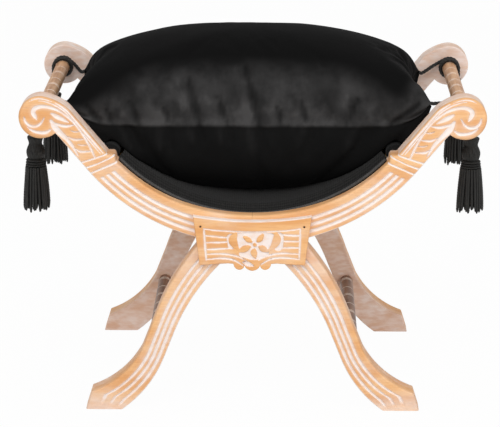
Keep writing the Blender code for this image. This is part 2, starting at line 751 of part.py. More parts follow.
def pillow_point(u, v, side, inset):
    """A point of the upper (1) or lower (-1) side of the cushion, drawn in by an inset."""
    run, cross = math.sin(u * math.pi / 2), math.sin(v * math.pi / 2)
    side_fall = max(math.cos(u * math.pi / 2), 0.0)
    end_fall = max(math.cos(v * math.pi / 2), 0.0)
    half_width = CUSHION_HALF_WIDTH - inset * run ** CUSHION_EAR_SHARPNESS
    reach = half_width * run * (1 - CUSHION_SIDE_DRAW_IN * (1 - cross ** 2))
    x = CUSHION_OFF_CENTRE + reach
    y = (CUSHION_HALF_DEPTH - inset) * cross * (1 - CUSHION_DRAW_IN * (1 - run ** 2))
    ear_rise = ((1 - cross) * CUSHION_FRONT_EAR_RISE + (1 + cross) * CUSHION_REAR_EAR_RISE) / 2
    seam = CUSHION_SEAM_Z + ear_rise * (reach / CUSHION_HALF_WIDTH) ** CUSHION_EAR_SHARPNESS
    swell = side_fall ** CUSHION_SIDE_PLUMPNESS * end_fall ** CUSHION_PLUMPNESS
    swell *= 1 - (run * cross) ** CUSHION_CORNER_SHARPNESS
    if side > 0:
        return Vector((x, y, seam + (CUSHION_CROWN - inset) * swell))
    rest = sling_height(x) + 2 * SOFT_GAP + inset
    return Vector((x, y, min(seam, max(seam - (CUSHION_BELLY - inset) * swell, rest))))


def pillow_grid(side, inset, lift=0.0):
    def place(u, v):
        return pillow_point(u, v, side, inset) + Vector((0, 0, lift))
    return grid_mesh(CUSHION_COLUMNS, CUSHION_ROWS, place)


def joined(first, second):
    """Two bmeshes in one."""
    mesh = bpy.data.meshes.new("joining")
    second.to_mesh(mesh)
    second.free()
    first.from_mesh(mesh)
    bpy.data.meshes.remove(mesh)
    return first


def cushion_panel(name, side):
    """One panel of the cover: an outer and an inner skin, bridged along the seam."""
    lift = side * SOFT_GAP / 2
    shape = joined(pillow_grid(side, 0.0, lift), pillow_grid(side, CUSHION_COVER_THICKNESS, lift))
    rims = [edge for edge in shape.edges if edge.is_boundary]
    bmesh.ops.bridge_loops(shape, edges=rims)
    return show(mesh_object(name, shape), VELVET, 60)


def filling_grid(side):
    """One side of the filling: a panel's inner skin without its outermost ring, a gap further in."""
    columns, rows = CUSHION_COLUMNS - 2, CUSHION_ROWS - 2

    def place(u, v):
        u, v = u * columns / CUSHION_COLUMNS, v * rows / CUSHION_ROWS
        return pillow_point(u, v, side, CUSHION_COVER_THICKNESS) - Vector((0, 0, side * SOFT_GAP))
    return grid_mesh(columns, rows, place)


def make_cushion():
    cushion_panel("cushion_top_panel", 1)
    cushion_panel("cushion_bottom_panel", -1)
    filling = joined(filling_grid(1), filling_grid(-1))
    rims = [edge for edge in filling.edges if edge.is_boundary]
    bmesh.ops.bridge_loops(filling, edges=rims)
    show(mesh_object("cushion_filling", filling), FIBRE, 60)


# Ties, knots and tassels

def tie_points(end, side):
    """A tie's route: from the cushion's corner to the handrail, round it and down to the knot."""
    ear = pillow_point(side, end, 1, 0.0)
    points = [ear + Vector((side * (SOFT_GAP + CORD_DIAMETER * step), 0, 0)) for step in (0, 1)]
    rail_x, rail_z = scroll_centre()
    wind = HANDRAIL_DIAMETER / 2 + CORD_DIAMETER / 2 + SOFT_GAP
    away, above = side * points[1].x - rail_x, points[1].z - rail_z
    touch_angle = math.atan2(above, away) % math.tau - math.acos(wind / math.hypot(away, above))
    turns = TIE_TURNS + touch_angle / math.tau - 0.25
    hang = knot_place(end, side)
    count = round(turns * LOOP_POINTS)
    winding = []
    for step in range(count + 1):
        turns_left = turns * (1 - step / count)
        angle = math.tau * turns_left
        y = hang.y + end * TIE_PITCH * turns_left
        x = rail_x + wind * math.cos(angle)
        winding.append(Vector((side * x, y, rail_z + wind * math.sin(angle))))
    points.append((points[1] + winding[0]) / 2 + Vector((0, 0, TIE_BOW)))
    points += winding
    for height in (CORD_DIAMETER, 0.0):
        points.append(hang + Vector((0, 0, KNOT_RADIUS + SOFT_GAP + height)))
    return points


def knot_place(end, side):
    """The middle of a knot, which is also where its tassel swings."""
    rail_x, rail_z = scroll_centre()
    wind = HANDRAIL_DIAMETER / 2 + CORD_DIAMETER / 2 + SOFT_GAP
    y = INNER_FACE - TIE_STANDOFF - TIE_PITCH * TIE_TURNS
    return Vector((side * (rail_x + wind), end * y, rail_z - KNOT_DROP))


def least_self_gap(points):
    """The least clear distance between two stretches of a tie that aren't neighbours."""
    lengths = [0.0]
    for first, second in zip(points, points[1:]):
        lengths.append(lengths[-1] + (second - first).length)
    least = math.inf
    for index, point in enumerate(points):
        later = bisect.bisect_left(lengths, lengths[index] + math.pi * CORD_DIAMETER)
        for other in points[later:]:
            least = min(least, (other - point).length)
    return least - CORD_DIAMETER


def tassel_profiles():
    """The head with its cord, the binding and the skirt: (radius, height below the knot's middle)."""
    cord = CORD_DIAMETER / 2
    cord_top = -KNOT_RADIUS - SOFT_GAP
    head_top = cord_top - TASSEL_CORD_LENGTH
    head_radius, binding_radius = TASSEL_HEAD_DIAMETER / 2, TASSEL_BINDING_DIAMETER / 2
    head = [(0.0, cord_top), (cord, cord_top), (cord, head_top)]
    for share, width_share in TASSEL_HEAD_SHAPE:
        head.append((head_radius * width_share, head_top - TASSEL_HEAD_LENGTH * share))
    head_low = head_top - TASSEL_HEAD_LENGTH
    head.append((0.0, head_low))
    top = head_low - SOFT_GAP
    low = top - TASSEL_BINDING_LENGTH
    inner = binding_radius - TASSEL_BINDING_LENGTH / 4
    binding = [(0.0, top), (inner, top), (binding_radius, (top + low) / 2), (inner, low), (0.0, low)]
    skirt_top = low - SOFT_GAP
    skirt_low = skirt_top - TASSEL_SKIRT_LENGTH
    skirt_radius = TASSEL_SKIRT_DIAMETER / 2
    skirt = [(0.0, skirt_top), (binding_radius, skirt_top)]
    for share in (0.2, 0.45, 0.75, 0.95):
        radius = binding_radius + (skirt_radius - binding_radius) * math.sin(math.pi / 2 * share)
        skirt.append((radius, skirt_top - TASSEL_SKIRT_LENGTH * share))
    skirt += [(skirt_radius * 0.93, skirt_low), (0.0, skirt_low)]
    return {"head": head, "binding": binding, "skirt": skirt}


def make_tie(end_name, side_name):
    end, side = ENDS[end_name], SIDES[side_name]
    corner = f"{end_name}_{side_name}"
    points = tie_points(end, side)
    show(tube(f"{corner}_tie_cord", points, CORD_DIAMETER, 1), TRIM)
    print(f"{corner} tie: least gap to itself {least_self_gap(points) * 1000:.2f} mm")
    place = Matrix.Translation(knot_place(end, side))
    shape = bmesh.new()
    bmesh.ops.create_uvsphere(shape, u_segments=ROD_SIDES, v_segments=6, radius=KNOT_RADIUS)
    knot = mesh_object(f"{corner}_knot", shape)
    knot.matrix_world = place
    show(knot, TRIM, 60)
    for part, profile in tassel_profiles().items():
        show(turned(f"{corner}_tassel_{part}", profile, ROD_SIDES, place), TRIM)


def make_bench():
    for end_name in ENDS:
        for side_name in SIDES:
            make_arm(end_name, side_name)
            make_leg(end_name, side_name)
            make_tie(end_name, side_name)
        make_tenons(end_name)
        make_plaque(end_name)
        make_braid(end_name)
    for side_name in SIDES:
        make_rods(side_name)
        make_roll(side_name)
    make_seat()
    make_cushion()


make_bench()
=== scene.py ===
# %% [markdown]
# # A limed oak bench with a tied cushion
# The bench is two carved X frames, joined by ring-turned rods, with a black sling seat between them and a
# loose velvet cushion whose corner cords are wound round the handrails and end in tassels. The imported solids
# give every size and place. This lesson puts the carving, the cloth and the finishes on them.

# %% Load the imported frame
import math
import random

import bpy
import numpy as np
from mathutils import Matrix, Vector


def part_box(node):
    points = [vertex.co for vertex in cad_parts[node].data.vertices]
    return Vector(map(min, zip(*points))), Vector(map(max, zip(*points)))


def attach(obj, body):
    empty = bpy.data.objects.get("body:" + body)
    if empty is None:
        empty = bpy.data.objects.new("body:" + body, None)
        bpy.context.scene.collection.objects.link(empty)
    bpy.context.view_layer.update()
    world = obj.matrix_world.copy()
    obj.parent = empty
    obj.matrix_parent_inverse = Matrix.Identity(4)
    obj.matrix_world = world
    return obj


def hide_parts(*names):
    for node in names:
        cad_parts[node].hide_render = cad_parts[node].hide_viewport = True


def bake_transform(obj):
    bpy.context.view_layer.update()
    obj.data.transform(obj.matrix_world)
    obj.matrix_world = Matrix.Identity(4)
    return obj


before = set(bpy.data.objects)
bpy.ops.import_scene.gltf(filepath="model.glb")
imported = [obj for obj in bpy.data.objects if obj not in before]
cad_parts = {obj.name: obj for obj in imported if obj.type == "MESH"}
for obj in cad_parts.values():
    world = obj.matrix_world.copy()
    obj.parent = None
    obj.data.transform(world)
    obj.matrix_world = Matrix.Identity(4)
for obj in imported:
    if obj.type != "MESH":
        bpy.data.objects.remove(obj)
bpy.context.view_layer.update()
SIDES = {"left": -1, "right": 1}
ENDS = {"front": -1, "rear": 1}
CORNERS = {f"{end_name}_{side_name}": (end, side)
           for end_name, end in ENDS.items() for side_name, side in SIDES.items()}
MM = 0.001
bpy.context.scene.view_settings.view_transform = "Standard"

# %% [markdown]
# ## The camera
# The photograph was taken with a long lens from a little above the seat. The focal length in pixels and the
# place were solved from the feet, the plaque and the scrolls, so the render can be laid over the photograph.

# %% Camera
PHOTO_WIDTH = 500
FOCAL_PIXELS = 2237.3
SENSOR_WIDTH = 36.0
CAMERA_PLACE = (0.051, -3.5183, 1.2864)
CAMERA_PITCH = 0.2831
CAMERA_YAW = 0.0165
bpy.ops.object.camera_add(location=CAMERA_PLACE, rotation=(math.pi / 2 - CAMERA_PITCH, 0.0, CAMERA_YAW))
camera = bpy.context.object
camera.data.sensor_width = SENSOR_WIDTH
camera.data.lens = SENSOR_WIDTH * FOCAL_PIXELS / PHOTO_WIDTH
bpy.context.scene.camera = camera
print("lens", round(camera.data.lens, 1), "mm")

# %% [markdown]
# ## Sizes that the carving follows
# The rails are arcs about a centre above the seat, then a straight arm, then a scroll. The frame's own boxes
# give its faces, and the few sizes of the curves are named here once.

# %% Sizes of the frame
FRONT_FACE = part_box("rear_right_arm")[1].y
INNER_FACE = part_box("rear_right_arm")[0].y
BOARD = FRONT_FACE - INNER_FACE
RAIL_RADIUS = 0.308
RAIL_WIDTH = 0.042
RAIL_LOWEST = 0.294
RAIL_CENTRE_Z = RAIL_LOWEST + RAIL_RADIUS
TOP_RADIUS = RAIL_RADIUS - RAIL_WIDTH / 2
UNDER_RADIUS = RAIL_RADIUS + RAIL_WIDTH / 2
RAIL_CROWN = 0.005
RAIL_CROWN_ANGLE = math.radians(36.0)
ARM_ANGLE = math.radians(50.5)
ARM_TAPER = 0.003
SCROLL_RADIUS = 0.033
SCROLL_REACH = 0.1071
SCROLL_SET_OUT = 0.0239
CURL_RUN = 0.020
CURL_FULLNESS = 0.8
KNUCKLE_ANGLE = math.radians(48.5)
KNUCKLE_HALF_LENGTH = 0.008
KNUCKLE_HALF = KNUCKLE_HALF_LENGTH / TOP_RADIUS
KNUCKLE_RISE = 0.004
SEAT_ANGLE = math.radians(46.0)
REBATE_DEPTH = 0.006
REBATE_LIP = 0.018
ALONG = np.array((math.cos(ARM_ANGLE), math.sin(ARM_ANGLE)))
ACROSS = np.array((-math.sin(ARM_ANGLE), math.cos(ARM_ANGLE)))


def rail_point(radius, angle):
    """Points (x, z) about the rail's centre, with the angle counted from straight down."""
    return np.stack((radius * np.sin(angle), RAIL_CENTRE_Z - radius * np.cos(angle)), axis=-1)


ARM_END = rail_point(RAIL_RADIUS, ARM_ANGLE)
SCROLL_CENTRE = ARM_END + SCROLL_REACH * ALONG - SCROLL_SET_OUT * ACROSS
print("scroll centre", SCROLL_CENTRE.round(4), "board", round(BOARD, 4))

# %% [markdown]
# ## A grid as a sheet of clay
# Most pieces here are long things with a section: a board, a rod, a cord. A grid primitive is the quickest
# start: its rows are stations along the piece and its columns run round the section. The corners are moved to
# their places, the two long edges meet and are merged, and the open ends are filled. A finished piece rides
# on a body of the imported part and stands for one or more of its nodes.

# %% Helpers for meshes
MERGE = 0.000002
CURVE_STEPS = 8
EDGED_SHADING = 40.0
ROUND_SHADING = 60.0


def deselect():
    if bpy.context.object and bpy.context.object.mode == "EDIT":
        bpy.ops.object.mode_set(mode="OBJECT")
    bpy.ops.object.select_all(action="DESELECT")


def add_grid(name, places, **attributes):
    """A grid primitive whose corners go to places[row, column], with point attributes of the same layout."""
    rows, columns = places.shape[:2]
    deselect()
    bpy.ops.mesh.primitive_grid_add(x_subdivisions=columns - 1, y_subdivisions=rows - 1, size=1.0)
    piece = bpy.context.object
    piece.name = name
    piece.data.name = name
    piece.data.vertices.foreach_set("co", places.reshape(-1, 3).astype(np.float32).ravel())
    for attribute, values in attributes.items():
        layer = piece.data.attributes.new(attribute, "FLOAT", "POINT")
        layer.data.foreach_set("value", values.reshape(-1).astype(np.float32))
    piece.data.update()
    return piece


def drop_faces(piece, unwanted):
    """Delete the grid faces where unwanted[row, column] is true."""
    bpy.ops.object.mode_set(mode="EDIT")
    bpy.ops.mesh.select_mode(type="FACE")
    bpy.ops.mesh.select_all(action="DESELECT")
    bpy.ops.object.mode_set(mode="OBJECT")
    piece.data.polygons.foreach_set("select", unwanted.ravel())
    bpy.ops.object.mode_set(mode="EDIT")
    bpy.ops.mesh.delete(type="FACE")
    bpy.ops.object.mode_set(mode="OBJECT")


def close_up(piece, smooth_angle=EDGED_SHADING):
    """Merge the seam, fill what is still open, turn the faces outwards and shade the piece smooth."""
    bpy.ops.object.mode_set(mode="EDIT")
    bpy.ops.mesh.select_mode(type="VERT")
    bpy.ops.mesh.select_all(action="SELECT")
    bpy.ops.mesh.remove_doubles(threshold=MERGE)
    bpy.ops.mesh.select_all(action="DESELECT")
    bpy.ops.mesh.select_non_manifold(extend=False)
    bpy.ops.mesh.fill_holes(sides=0)
    bpy.ops.mesh.select_all(action="SELECT")
    bpy.ops.mesh.normals_make_consistent(inside=False)
    bpy.ops.object.mode_set(mode="OBJECT")
    bpy.ops.object.shade_smooth_by_angle(angle=math.radians(smooth_angle))
    return piece


def carry(piece, body, slot, *nodes):
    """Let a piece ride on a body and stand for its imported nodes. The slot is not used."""
    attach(piece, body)
    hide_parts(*nodes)
    return piece


def smooth_step(value, start, stop):
    share = np.clip((value - start) / (stop - start), 0.0, 1.0)
    return share * share * (3 - 2 * share)


def run_length(points):
    """How far along a line each of its points lies."""
    return np.concatenate(((0.0,), np.cumsum(np.linalg.norm(np.diff(points, axis=0), axis=1))))


def through(points):
    """A smooth curve through a few rows of numbers, with even steps between each two."""
    points = np.asarray(points, float)
    padded = np.vstack((2 * points[0] - points[1], points, 2 * points[-1] - points[-2]))
    share = np.linspace(0.0, 1.0, CURVE_STEPS, endpoint=False)[:, None]
    rows = []
    for before, first, second, after in zip(padded, padded[1:], padded[2:], padded[3:]):
        rows.append(0.5 * (2 * first + (second - before) * share
                           + (2 * before - 5 * first + 4 * second - after) * share ** 2
                           + (3 * first - before - 3 * second + after) * share ** 3))
    return np.vstack(rows + [points[-1:]])


print("helpers ready")

# %% [markdown]
# ## Carving with strokes
# A carver works in strokes of a gouge. A stroke here is a few points with a half width at each, and it cuts a
# round groove that is deepest along its middle. The lime paste stays in the cuts, with a haze of it rubbed
# out beside them. The attribute "lime" keeps both on the mesh, and the wood's finish reads it.

# %% Gouge strokes
GROOVES = (0.34, 0.565, 0.79)
GROOVE_HALF_WIDTH = 0.0029
GROOVE_DEPTH = 0.0021
HAZE = 0.24
HAZE_REACH = 2.0
LIME_SHOULDER = 0.5


def gouge(x, z, stroke):
    """How deep points lie in a stroke of (x, z, half width) rows: 1 in its middle, 0 at its edge."""
    path = through(stroke)
    cut = np.full(x.shape, -np.inf)
    for first, second in zip(path, path[1:]):
        run = second[:2] - first[:2]
        share = ((x - first[0]) * run[0] + (z - first[1]) * run[1]) / max(run @ run, 1e-12)
        share = np.clip(share, 0.0, 1.0)
        reach = np.maximum(first[2] + share * (second[2] - first[2]), 1e-6)
        distance = np.hypot(x - first[0] - share * run[0], z - first[1] - share * run[1])
        cut = np.maximum(cut, 1.0 - (distance / reach) ** 2)
    return cut


def limed(cut):
    """The lime in a cut, and the haze that was rubbed out beyond its edges."""
    haze = np.clip(1.0 - (1.0 - cut) / HAZE_REACH ** 2, 0.0, 1.0)
    return np.maximum(smooth_step(cut, 0.0, LIME_SHOULDER), HAZE * haze)


def carve(x, z, strokes, depth):
    """The depth and the lime that a list of strokes leaves at the points."""
    cut = np.max([gouge(x, z, stroke) for stroke in strokes], axis=0)
    return depth * np.clip(cut, 0.0, 1.0), limed(cut)


def edge_round(distance, radius):
    """How far a rounded edge falls back, at a distance from the edge."""
    inside = np.clip(radius - distance, 0.0, None)
    return radius - np.sqrt(np.maximum(radius ** 2 - inside ** 2, 0.0))


def ribs(across, width, lengthwise):
    """Three lengthwise grooves: their depth and lime, faded by lengthwise (0 to 1)."""
    cut = np.max([1.0 - ((across - middle) * width / GROOVE_HALF_WIDTH) ** 2 for middle in GROOVES], axis=0)
    return GROOVE_DEPTH * np.clip(cut, 0.0, 1.0) * lengthwise, limed(cut) * lengthwise


print("strokes ready")

# %% [markdown]
# ## The section of a carved board
# Arms and legs are sawn from the same thick board. At each station an outer and an inner edge point are
# known, and the section runs down the carved front, under the board, up the back and over the top. The front
# edges are rounded over, the back is plain, and a rail has a step behind its lip where the seat is tacked.

# %% Board sections
FRONT_SAMPLES = 57
LIP_SHARES = np.linspace(0.0, 1.0, 8)[1:]
BACK_SHARES = np.linspace(0.0, 1.0, 6)[:-1]
WALL_SAMPLES = len(LIP_SHARES) + len(BACK_SHARES)
FRONT_SHARE = np.linspace(0.0, 1.0, FRONT_SAMPLES)
MILKY_FILM = 0.05
UNDER_LIME = 0.5
UNDER_WASH = 0.75
TOP_WASH = 0.3
LIME_OVER_WASH = 0.6
EDGE_BAND = (0.955, 0.985)
EDGE_LIME = 0.8
BACK_EDGE_ROUND = 0.0016


def wall_depths(front, back):
    """Depths of the samples of a wall from the front face over the lip to the back face."""
    near = front[:, None] + (REBATE_LIP - front)[:, None] * LIP_SHARES
    far = REBATE_LIP + (back - REBATE_LIP)[:, None] * BACK_SHARES
    return np.concatenate((near, far), axis=1)


def edge_normals(edge):
    """Unit vectors square to an edge line, on its left hand."""
    run = np.gradient(edge, axis=0)
    run /= np.linalg.norm(run, axis=1)[:, None]
    return np.stack((-run[:, 1], run[:, 0]), axis=-1)


def board_section(board):
    """The corners (x, depth, z) and the lime and wash of a board, row by row of its stations."""
    outer, inner = board["outer"], board["inner"]
    width = np.linalg.norm(inner - outer, axis=1)[:, None]
    away = FRONT_SHARE * width
    front = outer[:, None] + (inner - outer)[:, None] * FRONT_SHARE[:, None]
    front_depth = board["depth"] + edge_round(away, board["outer_round"][:, None])
    front_depth = front_depth + edge_round(width - away, board["inner_round"][:, None])
    normal = edge_normals(outer)
    step = normal * board["rebate"][:, None]
    back = inner[:, None] + (outer - step - inner)[:, None] * FRONT_SHARE[:, None]
    back_depth = BOARD - edge_round(width - away, board["back_round"][:, None])
    back_depth = back_depth - edge_round(away, board["inner_round"][:, None])
    under_depth = wall_depths(front_depth[:, -1], back_depth[:, 0])
    over_depth = wall_depths(front_depth[:, 0], back_depth[:, -1])[:, ::-1]
    under = np.repeat(inner[:, None], WALL_SAMPLES, axis=1)
    sunk = np.where(np.arange(WALL_SAMPLES) < len(BACK_SHARES), 1.0, 0.0)
    over = outer[:, None] - sunk[:, None] * step[:, None] - board["top_cut"][..., None] * normal[:, None]
    plane = np.concatenate((front, under, back, over, front[:, :1]), axis=1)
    depth = np.concatenate((front_depth, under_depth, back_depth, over_depth, front_depth[:, :1]), axis=1)
    lime = MILKY_FILM + (1 - MILKY_FILM) * board["lime"]
    top_lime = MILKY_FILM + (1 - MILKY_FILM) * board["top_lime"]
    plain = np.zeros_like(back_depth)
    under_lime = np.repeat(lime[:, -1:], WALL_SAMPLES, axis=1) * np.linspace(UNDER_LIME, 0.0, WALL_SAMPLES)
    lime = np.concatenate((lime, under_lime, plain + board["back_lime"], top_lime, lime[:, :1]), axis=1)
    back_wash = plain + 1.0 - LIME_OVER_WASH * board["back_lime"]
    wash = np.concatenate((plain, plain[:, :WALL_SAMPLES] + UNDER_WASH, back_wash,
                           np.zeros_like(top_lime) + sunk * TOP_WASH, plain[:, :1]), axis=1)
    return np.stack((plane[..., 0], depth, plane[..., 1]), axis=-1), lime, wash


def place_board(name, section, end, side, scroll_row):
    """One board of the frame, at the front or rear and on the left or right."""
    corners, lime, wash = section
    places = np.empty_like(corners)
    places[..., 0] = side * corners[..., 0]
    places[..., 1] = end * (FRONT_FACE - corners[..., 1])
    places[..., 2] = corners[..., 2]
    piece = add_grid(name, places, lime=lime, wash=wash)
    if scroll_row is not None:
        rows, columns = lime.shape
        unwanted = np.zeros((rows - 1, columns - 1), bool)
        unwanted[scroll_row:, FRONT_SAMPLES - 1:FRONT_SAMPLES + WALL_SAMPLES] = True
        drop_faces(piece, unwanted)
    return close_up(piece)


def four_boards(kind, section, scroll_row=None):
    """The four boards of a kind, one for each corner of the bench."""
    boards = []
    for corner, (end, side) in CORNERS.items():
        node = f"{corner}_{kind}"
        board = place_board(f"{node}_carved", section, end, side, scroll_row)
        boards.append(carry(board, "frame", "limed_oak", node))
    print(len(boards), kind, "boards of", len(board.data.polygons), "faces")
    return boards


print(FRONT_SAMPLES, "samples across a carved face")

# %% [markdown]
# ## The strokes of the arm
# On the front face a long white cut leaves the knuckle, follows the upper edge, rolls over into the scroll
# and ends in a broad hook. A U cut and a lower cut turn round the eye, a broad cut follows the lower edge,
# and leaf veins lie between. They are listed for the right-hand arm in radii of the scroll, from the scroll's
# centre, and the left arm mirrors them. Thin cuts follow the outer edge, given in metres along it and in from
# it, others run along the top, and three lines cross the knuckle, given by their angles at its two edges.

# %% Strokes of the arm
ARM_STROKES = [
    [(-2.50, -1.84, 0.045), (-2.30, -1.38, 0.062), (-2.00, -0.82, 0.060), (-1.61, -0.26, 0.058),
     (-1.23, 0.10, 0.060), (-0.85, 0.36, 0.070), (-0.47, 0.50, 0.085), (-0.09, 0.54, 0.100),
     (0.20, 0.45, 0.115), (0.30, 0.28, 0.125), (0.24, 0.10, 0.110), (0.15, -0.06, 0.045)],
    [(0.72, 0.02, 0.040), (0.66, -0.20, 0.066), (0.45, -0.38, 0.076), (0.18, -0.40, 0.074),
     (-0.05, -0.25, 0.060), (-0.20, 0.00, 0.030)],
    [(0.58, -0.42, 0.035), (0.37, -0.60, 0.066), (0.03, -0.70, 0.080), (-0.28, -0.69, 0.090),
     (-0.50, -0.55, 0.045)],
    [(-0.52, -0.14, 0.080), (-0.70, -0.45, 0.165), (-0.92, -0.70, 0.150), (-1.22, -1.00, 0.110),
     (-1.48, -1.34, 0.080), (-1.73, -1.78, 0.035)],
    [(-0.56, 0.20, 0.060), (-0.80, 0.06, 0.125), (-1.08, -0.08, 0.095), (-1.32, -0.20, 0.030)],
    [(-0.56, -0.22, 0.045), (-0.93, -0.34, 0.075), (-1.23, -0.39, 0.072), (-1.56, -0.33, 0.030)],
    [(-1.28, -0.90, 0.030), (-1.60, -1.03, 0.064), (-2.00, -1.00, 0.030)],
    [(-1.62, -1.47, 0.030), (-1.88, -1.60, 0.058), (-2.34, -1.58, 0.030)],
    [(-1.42, -0.60, 0.020), (-1.62, -0.66, 0.036), (-1.84, -0.64, 0.018)],
    [(-1.74, -1.26, 0.020), (-1.94, -1.30, 0.036), (-2.16, -1.28, 0.018)],
]
EDGE_STROKES = [
    [(0.004, 0.0030, 0.0008), (0.030, 0.0032, 0.0016), (0.070, 0.0030, 0.0017), (0.112, 0.0028, 0.0008)],
    [(0.006, 0.0066, 0.0006), (0.026, 0.0064, 0.0013), (0.048, 0.0062, 0.0006)],
    [(0.062, 0.0060, 0.0006), (0.086, 0.0056, 0.0013), (0.112, 0.0058, 0.0013), (0.140, 0.0062, 0.0006)],
    [(0.118, 0.0028, 0.0005), (0.138, 0.0030, 0.0011), (0.156, 0.0030, 0.0005)],
]
KNUCKLE_LINES = ((50.3, 52.9), (48.4, 51.0), (46.4, 49.0))
KNUCKLE_LINE_HALF = 0.0017
KNUCKLE_LINE_DEPTH = 0.0016
FLUTE_START = 44.6
FLUTE_SLANT = 2.4
FLUTE_FADE = 0.010
TOP_STROKES = [
    [(0.004, 0.007, 0.0008), (0.050, 0.0095, 0.0016), (0.110, 0.011, 0.0018), (0.160, 0.011, 0.0008)],
    [(0.004, 0.016, 0.0008), (0.050, 0.0175, 0.0016), (0.105, 0.020, 0.0018), (0.168, 0.019, 0.0008)],
    [(0.004, 0.030, 0.0008), (0.050, 0.0275, 0.0016), (0.105, 0.027, 0.0018), (0.160, 0.028, 0.0008)],
    [(0.012, 0.022, 0.0008), (0.045, 0.024, 0.0014), (0.080, 0.0235, 0.0008)],
    [(0.030, 0.013, 0.0006), (0.060, 0.014, 0.0012), (0.092, 0.015, 0.0006)],
    [(0.070, 0.032, 0.0006), (0.100, 0.032, 0.0012), (0.135, 0.033, 0.0006)],
]
ARM_CUT_DEPTH = 0.0022
EDGE_CUT_DEPTH = 0.0012
TOP_CUT_DEPTH = 0.0012
TOP_HAZE = 0.55
ARM_BACK_LIME = 0.75
print(len(ARM_STROKES), "strokes on the face of an arm,", len(TOP_STROKES), "on its top")

# %% [markdown]
# ## Arms and rails
# A rail, its arm and its scroll are one sawn piece. The outer edge is followed from the middle joint to the
# end of the scroll's turn. The inner edge follows the underside to the notch, then moves in to the eye while
# the upper edge curls over, and stays there for the turn, so the stations fan round the scroll without a gap.

# %% Arms
CALM_ROWS = 84
BUSY_ROWS = 60
ARM_ROWS = 96
SCROLL_ROWS = 110
STROKE_LEAD_ROWS = 40
JOINT_GAP = 0.00015
BUSY_ANGLE = math.radians(43.0)
SEAT_END = (-0.00005, 0.00105)
ARM_EDGE_ROUND = 0.0052
RAIL_EDGE_ROUND = 0.0042
KNUCKLE_EDGE_ROUND = 0.0050
SCROLL_FADE_ROWS = 16
NOTCH_FADE_ROWS = 12


def rail_crown(angle):
    """How far the lip of a rail stands above its arc: most in the middle."""
    return RAIL_CROWN * np.cos(np.minimum(angle / RAIL_CROWN_ANGLE, 1.0) * math.pi / 2) ** 2


def arm_stations():
    """The outer and inner edge of an arm, the angle on the rail, and the row where the curl starts."""
    calm = np.linspace(JOINT_GAP / TOP_RADIUS, BUSY_ANGLE, CALM_ROWS, endpoint=False)
    busy = np.linspace(BUSY_ANGLE, ARM_ANGLE, BUSY_ROWS, endpoint=False)
    angle = np.sort(np.concatenate((calm, busy, SEAT_ANGLE + np.array(SEAT_END))))
    bump = np.cos(np.clip((angle - KNUCKLE_ANGLE) / KNUCKLE_HALF, -1, 1) * math.pi / 2)
    taper = ARM_TAPER * smooth_step(angle, KNUCKLE_ANGLE, KNUCKLE_ANGLE + KNUCKLE_HALF)
    outer = [rail_point(TOP_RADIUS - rail_crown(angle) - KNUCKLE_RISE * bump + taper, angle)]
    inner = [rail_point(UNDER_RADIUS, angle)]

    rise = RAIL_WIDTH / 2 - ARM_TAPER
    inset = SCROLL_SET_OUT - RAIL_WIDTH / 2
    notch_reach = math.sqrt(SCROLL_RADIUS ** 2 - inset ** 2)
    notch = SCROLL_CENTRE + inset * ACROSS - notch_reach * ALONG
    run = np.linspace(0.0, 1.0, ARM_ROWS, endpoint=False)[:, None]
    outer.append(ARM_END + rise * ACROSS + run * (SCROLL_REACH - CURL_RUN) * ALONG)
    inner.append(ARM_END - RAIL_WIDTH / 2 * ACROSS + run * (SCROLL_REACH - notch_reach) * ALONG)
    curl_row = len(angle) + len(run)

    start = ARM_END + (SCROLL_REACH - CURL_RUN) * ALONG + rise * ACROSS
    stop = SCROLL_CENTRE + np.array((0.0, SCROLL_RADIUS))
    pull = CURL_FULLNESS * np.linalg.norm(stop - start)
    t = FRONT_SHARE[:, None]
    held = 2 * t ** 3 - 3 * t ** 2 + 1
    outer.append(held * start + (1 - held) * stop + pull * (t ** 3 - 2 * t ** 2 + t) * ALONG
                 + pull * (t ** 3 - t ** 2) * np.array((1.0, 0.0)))
    inner.append(notch + t * (SCROLL_CENTRE - notch))

    last = math.atan2(notch[1] - SCROLL_CENTRE[1], notch[0] - SCROLL_CENTRE[0])
    turn = np.linspace(math.pi / 2, last, SCROLL_ROWS + 1)[1:]
    outer.append(SCROLL_CENTRE + SCROLL_RADIUS * np.stack((np.cos(turn), np.sin(turn)), axis=-1))
    inner.append(np.repeat(SCROLL_CENTRE[None], len(turn), axis=0))
    return np.vstack(outer), np.vstack(inner), angle, curl_row


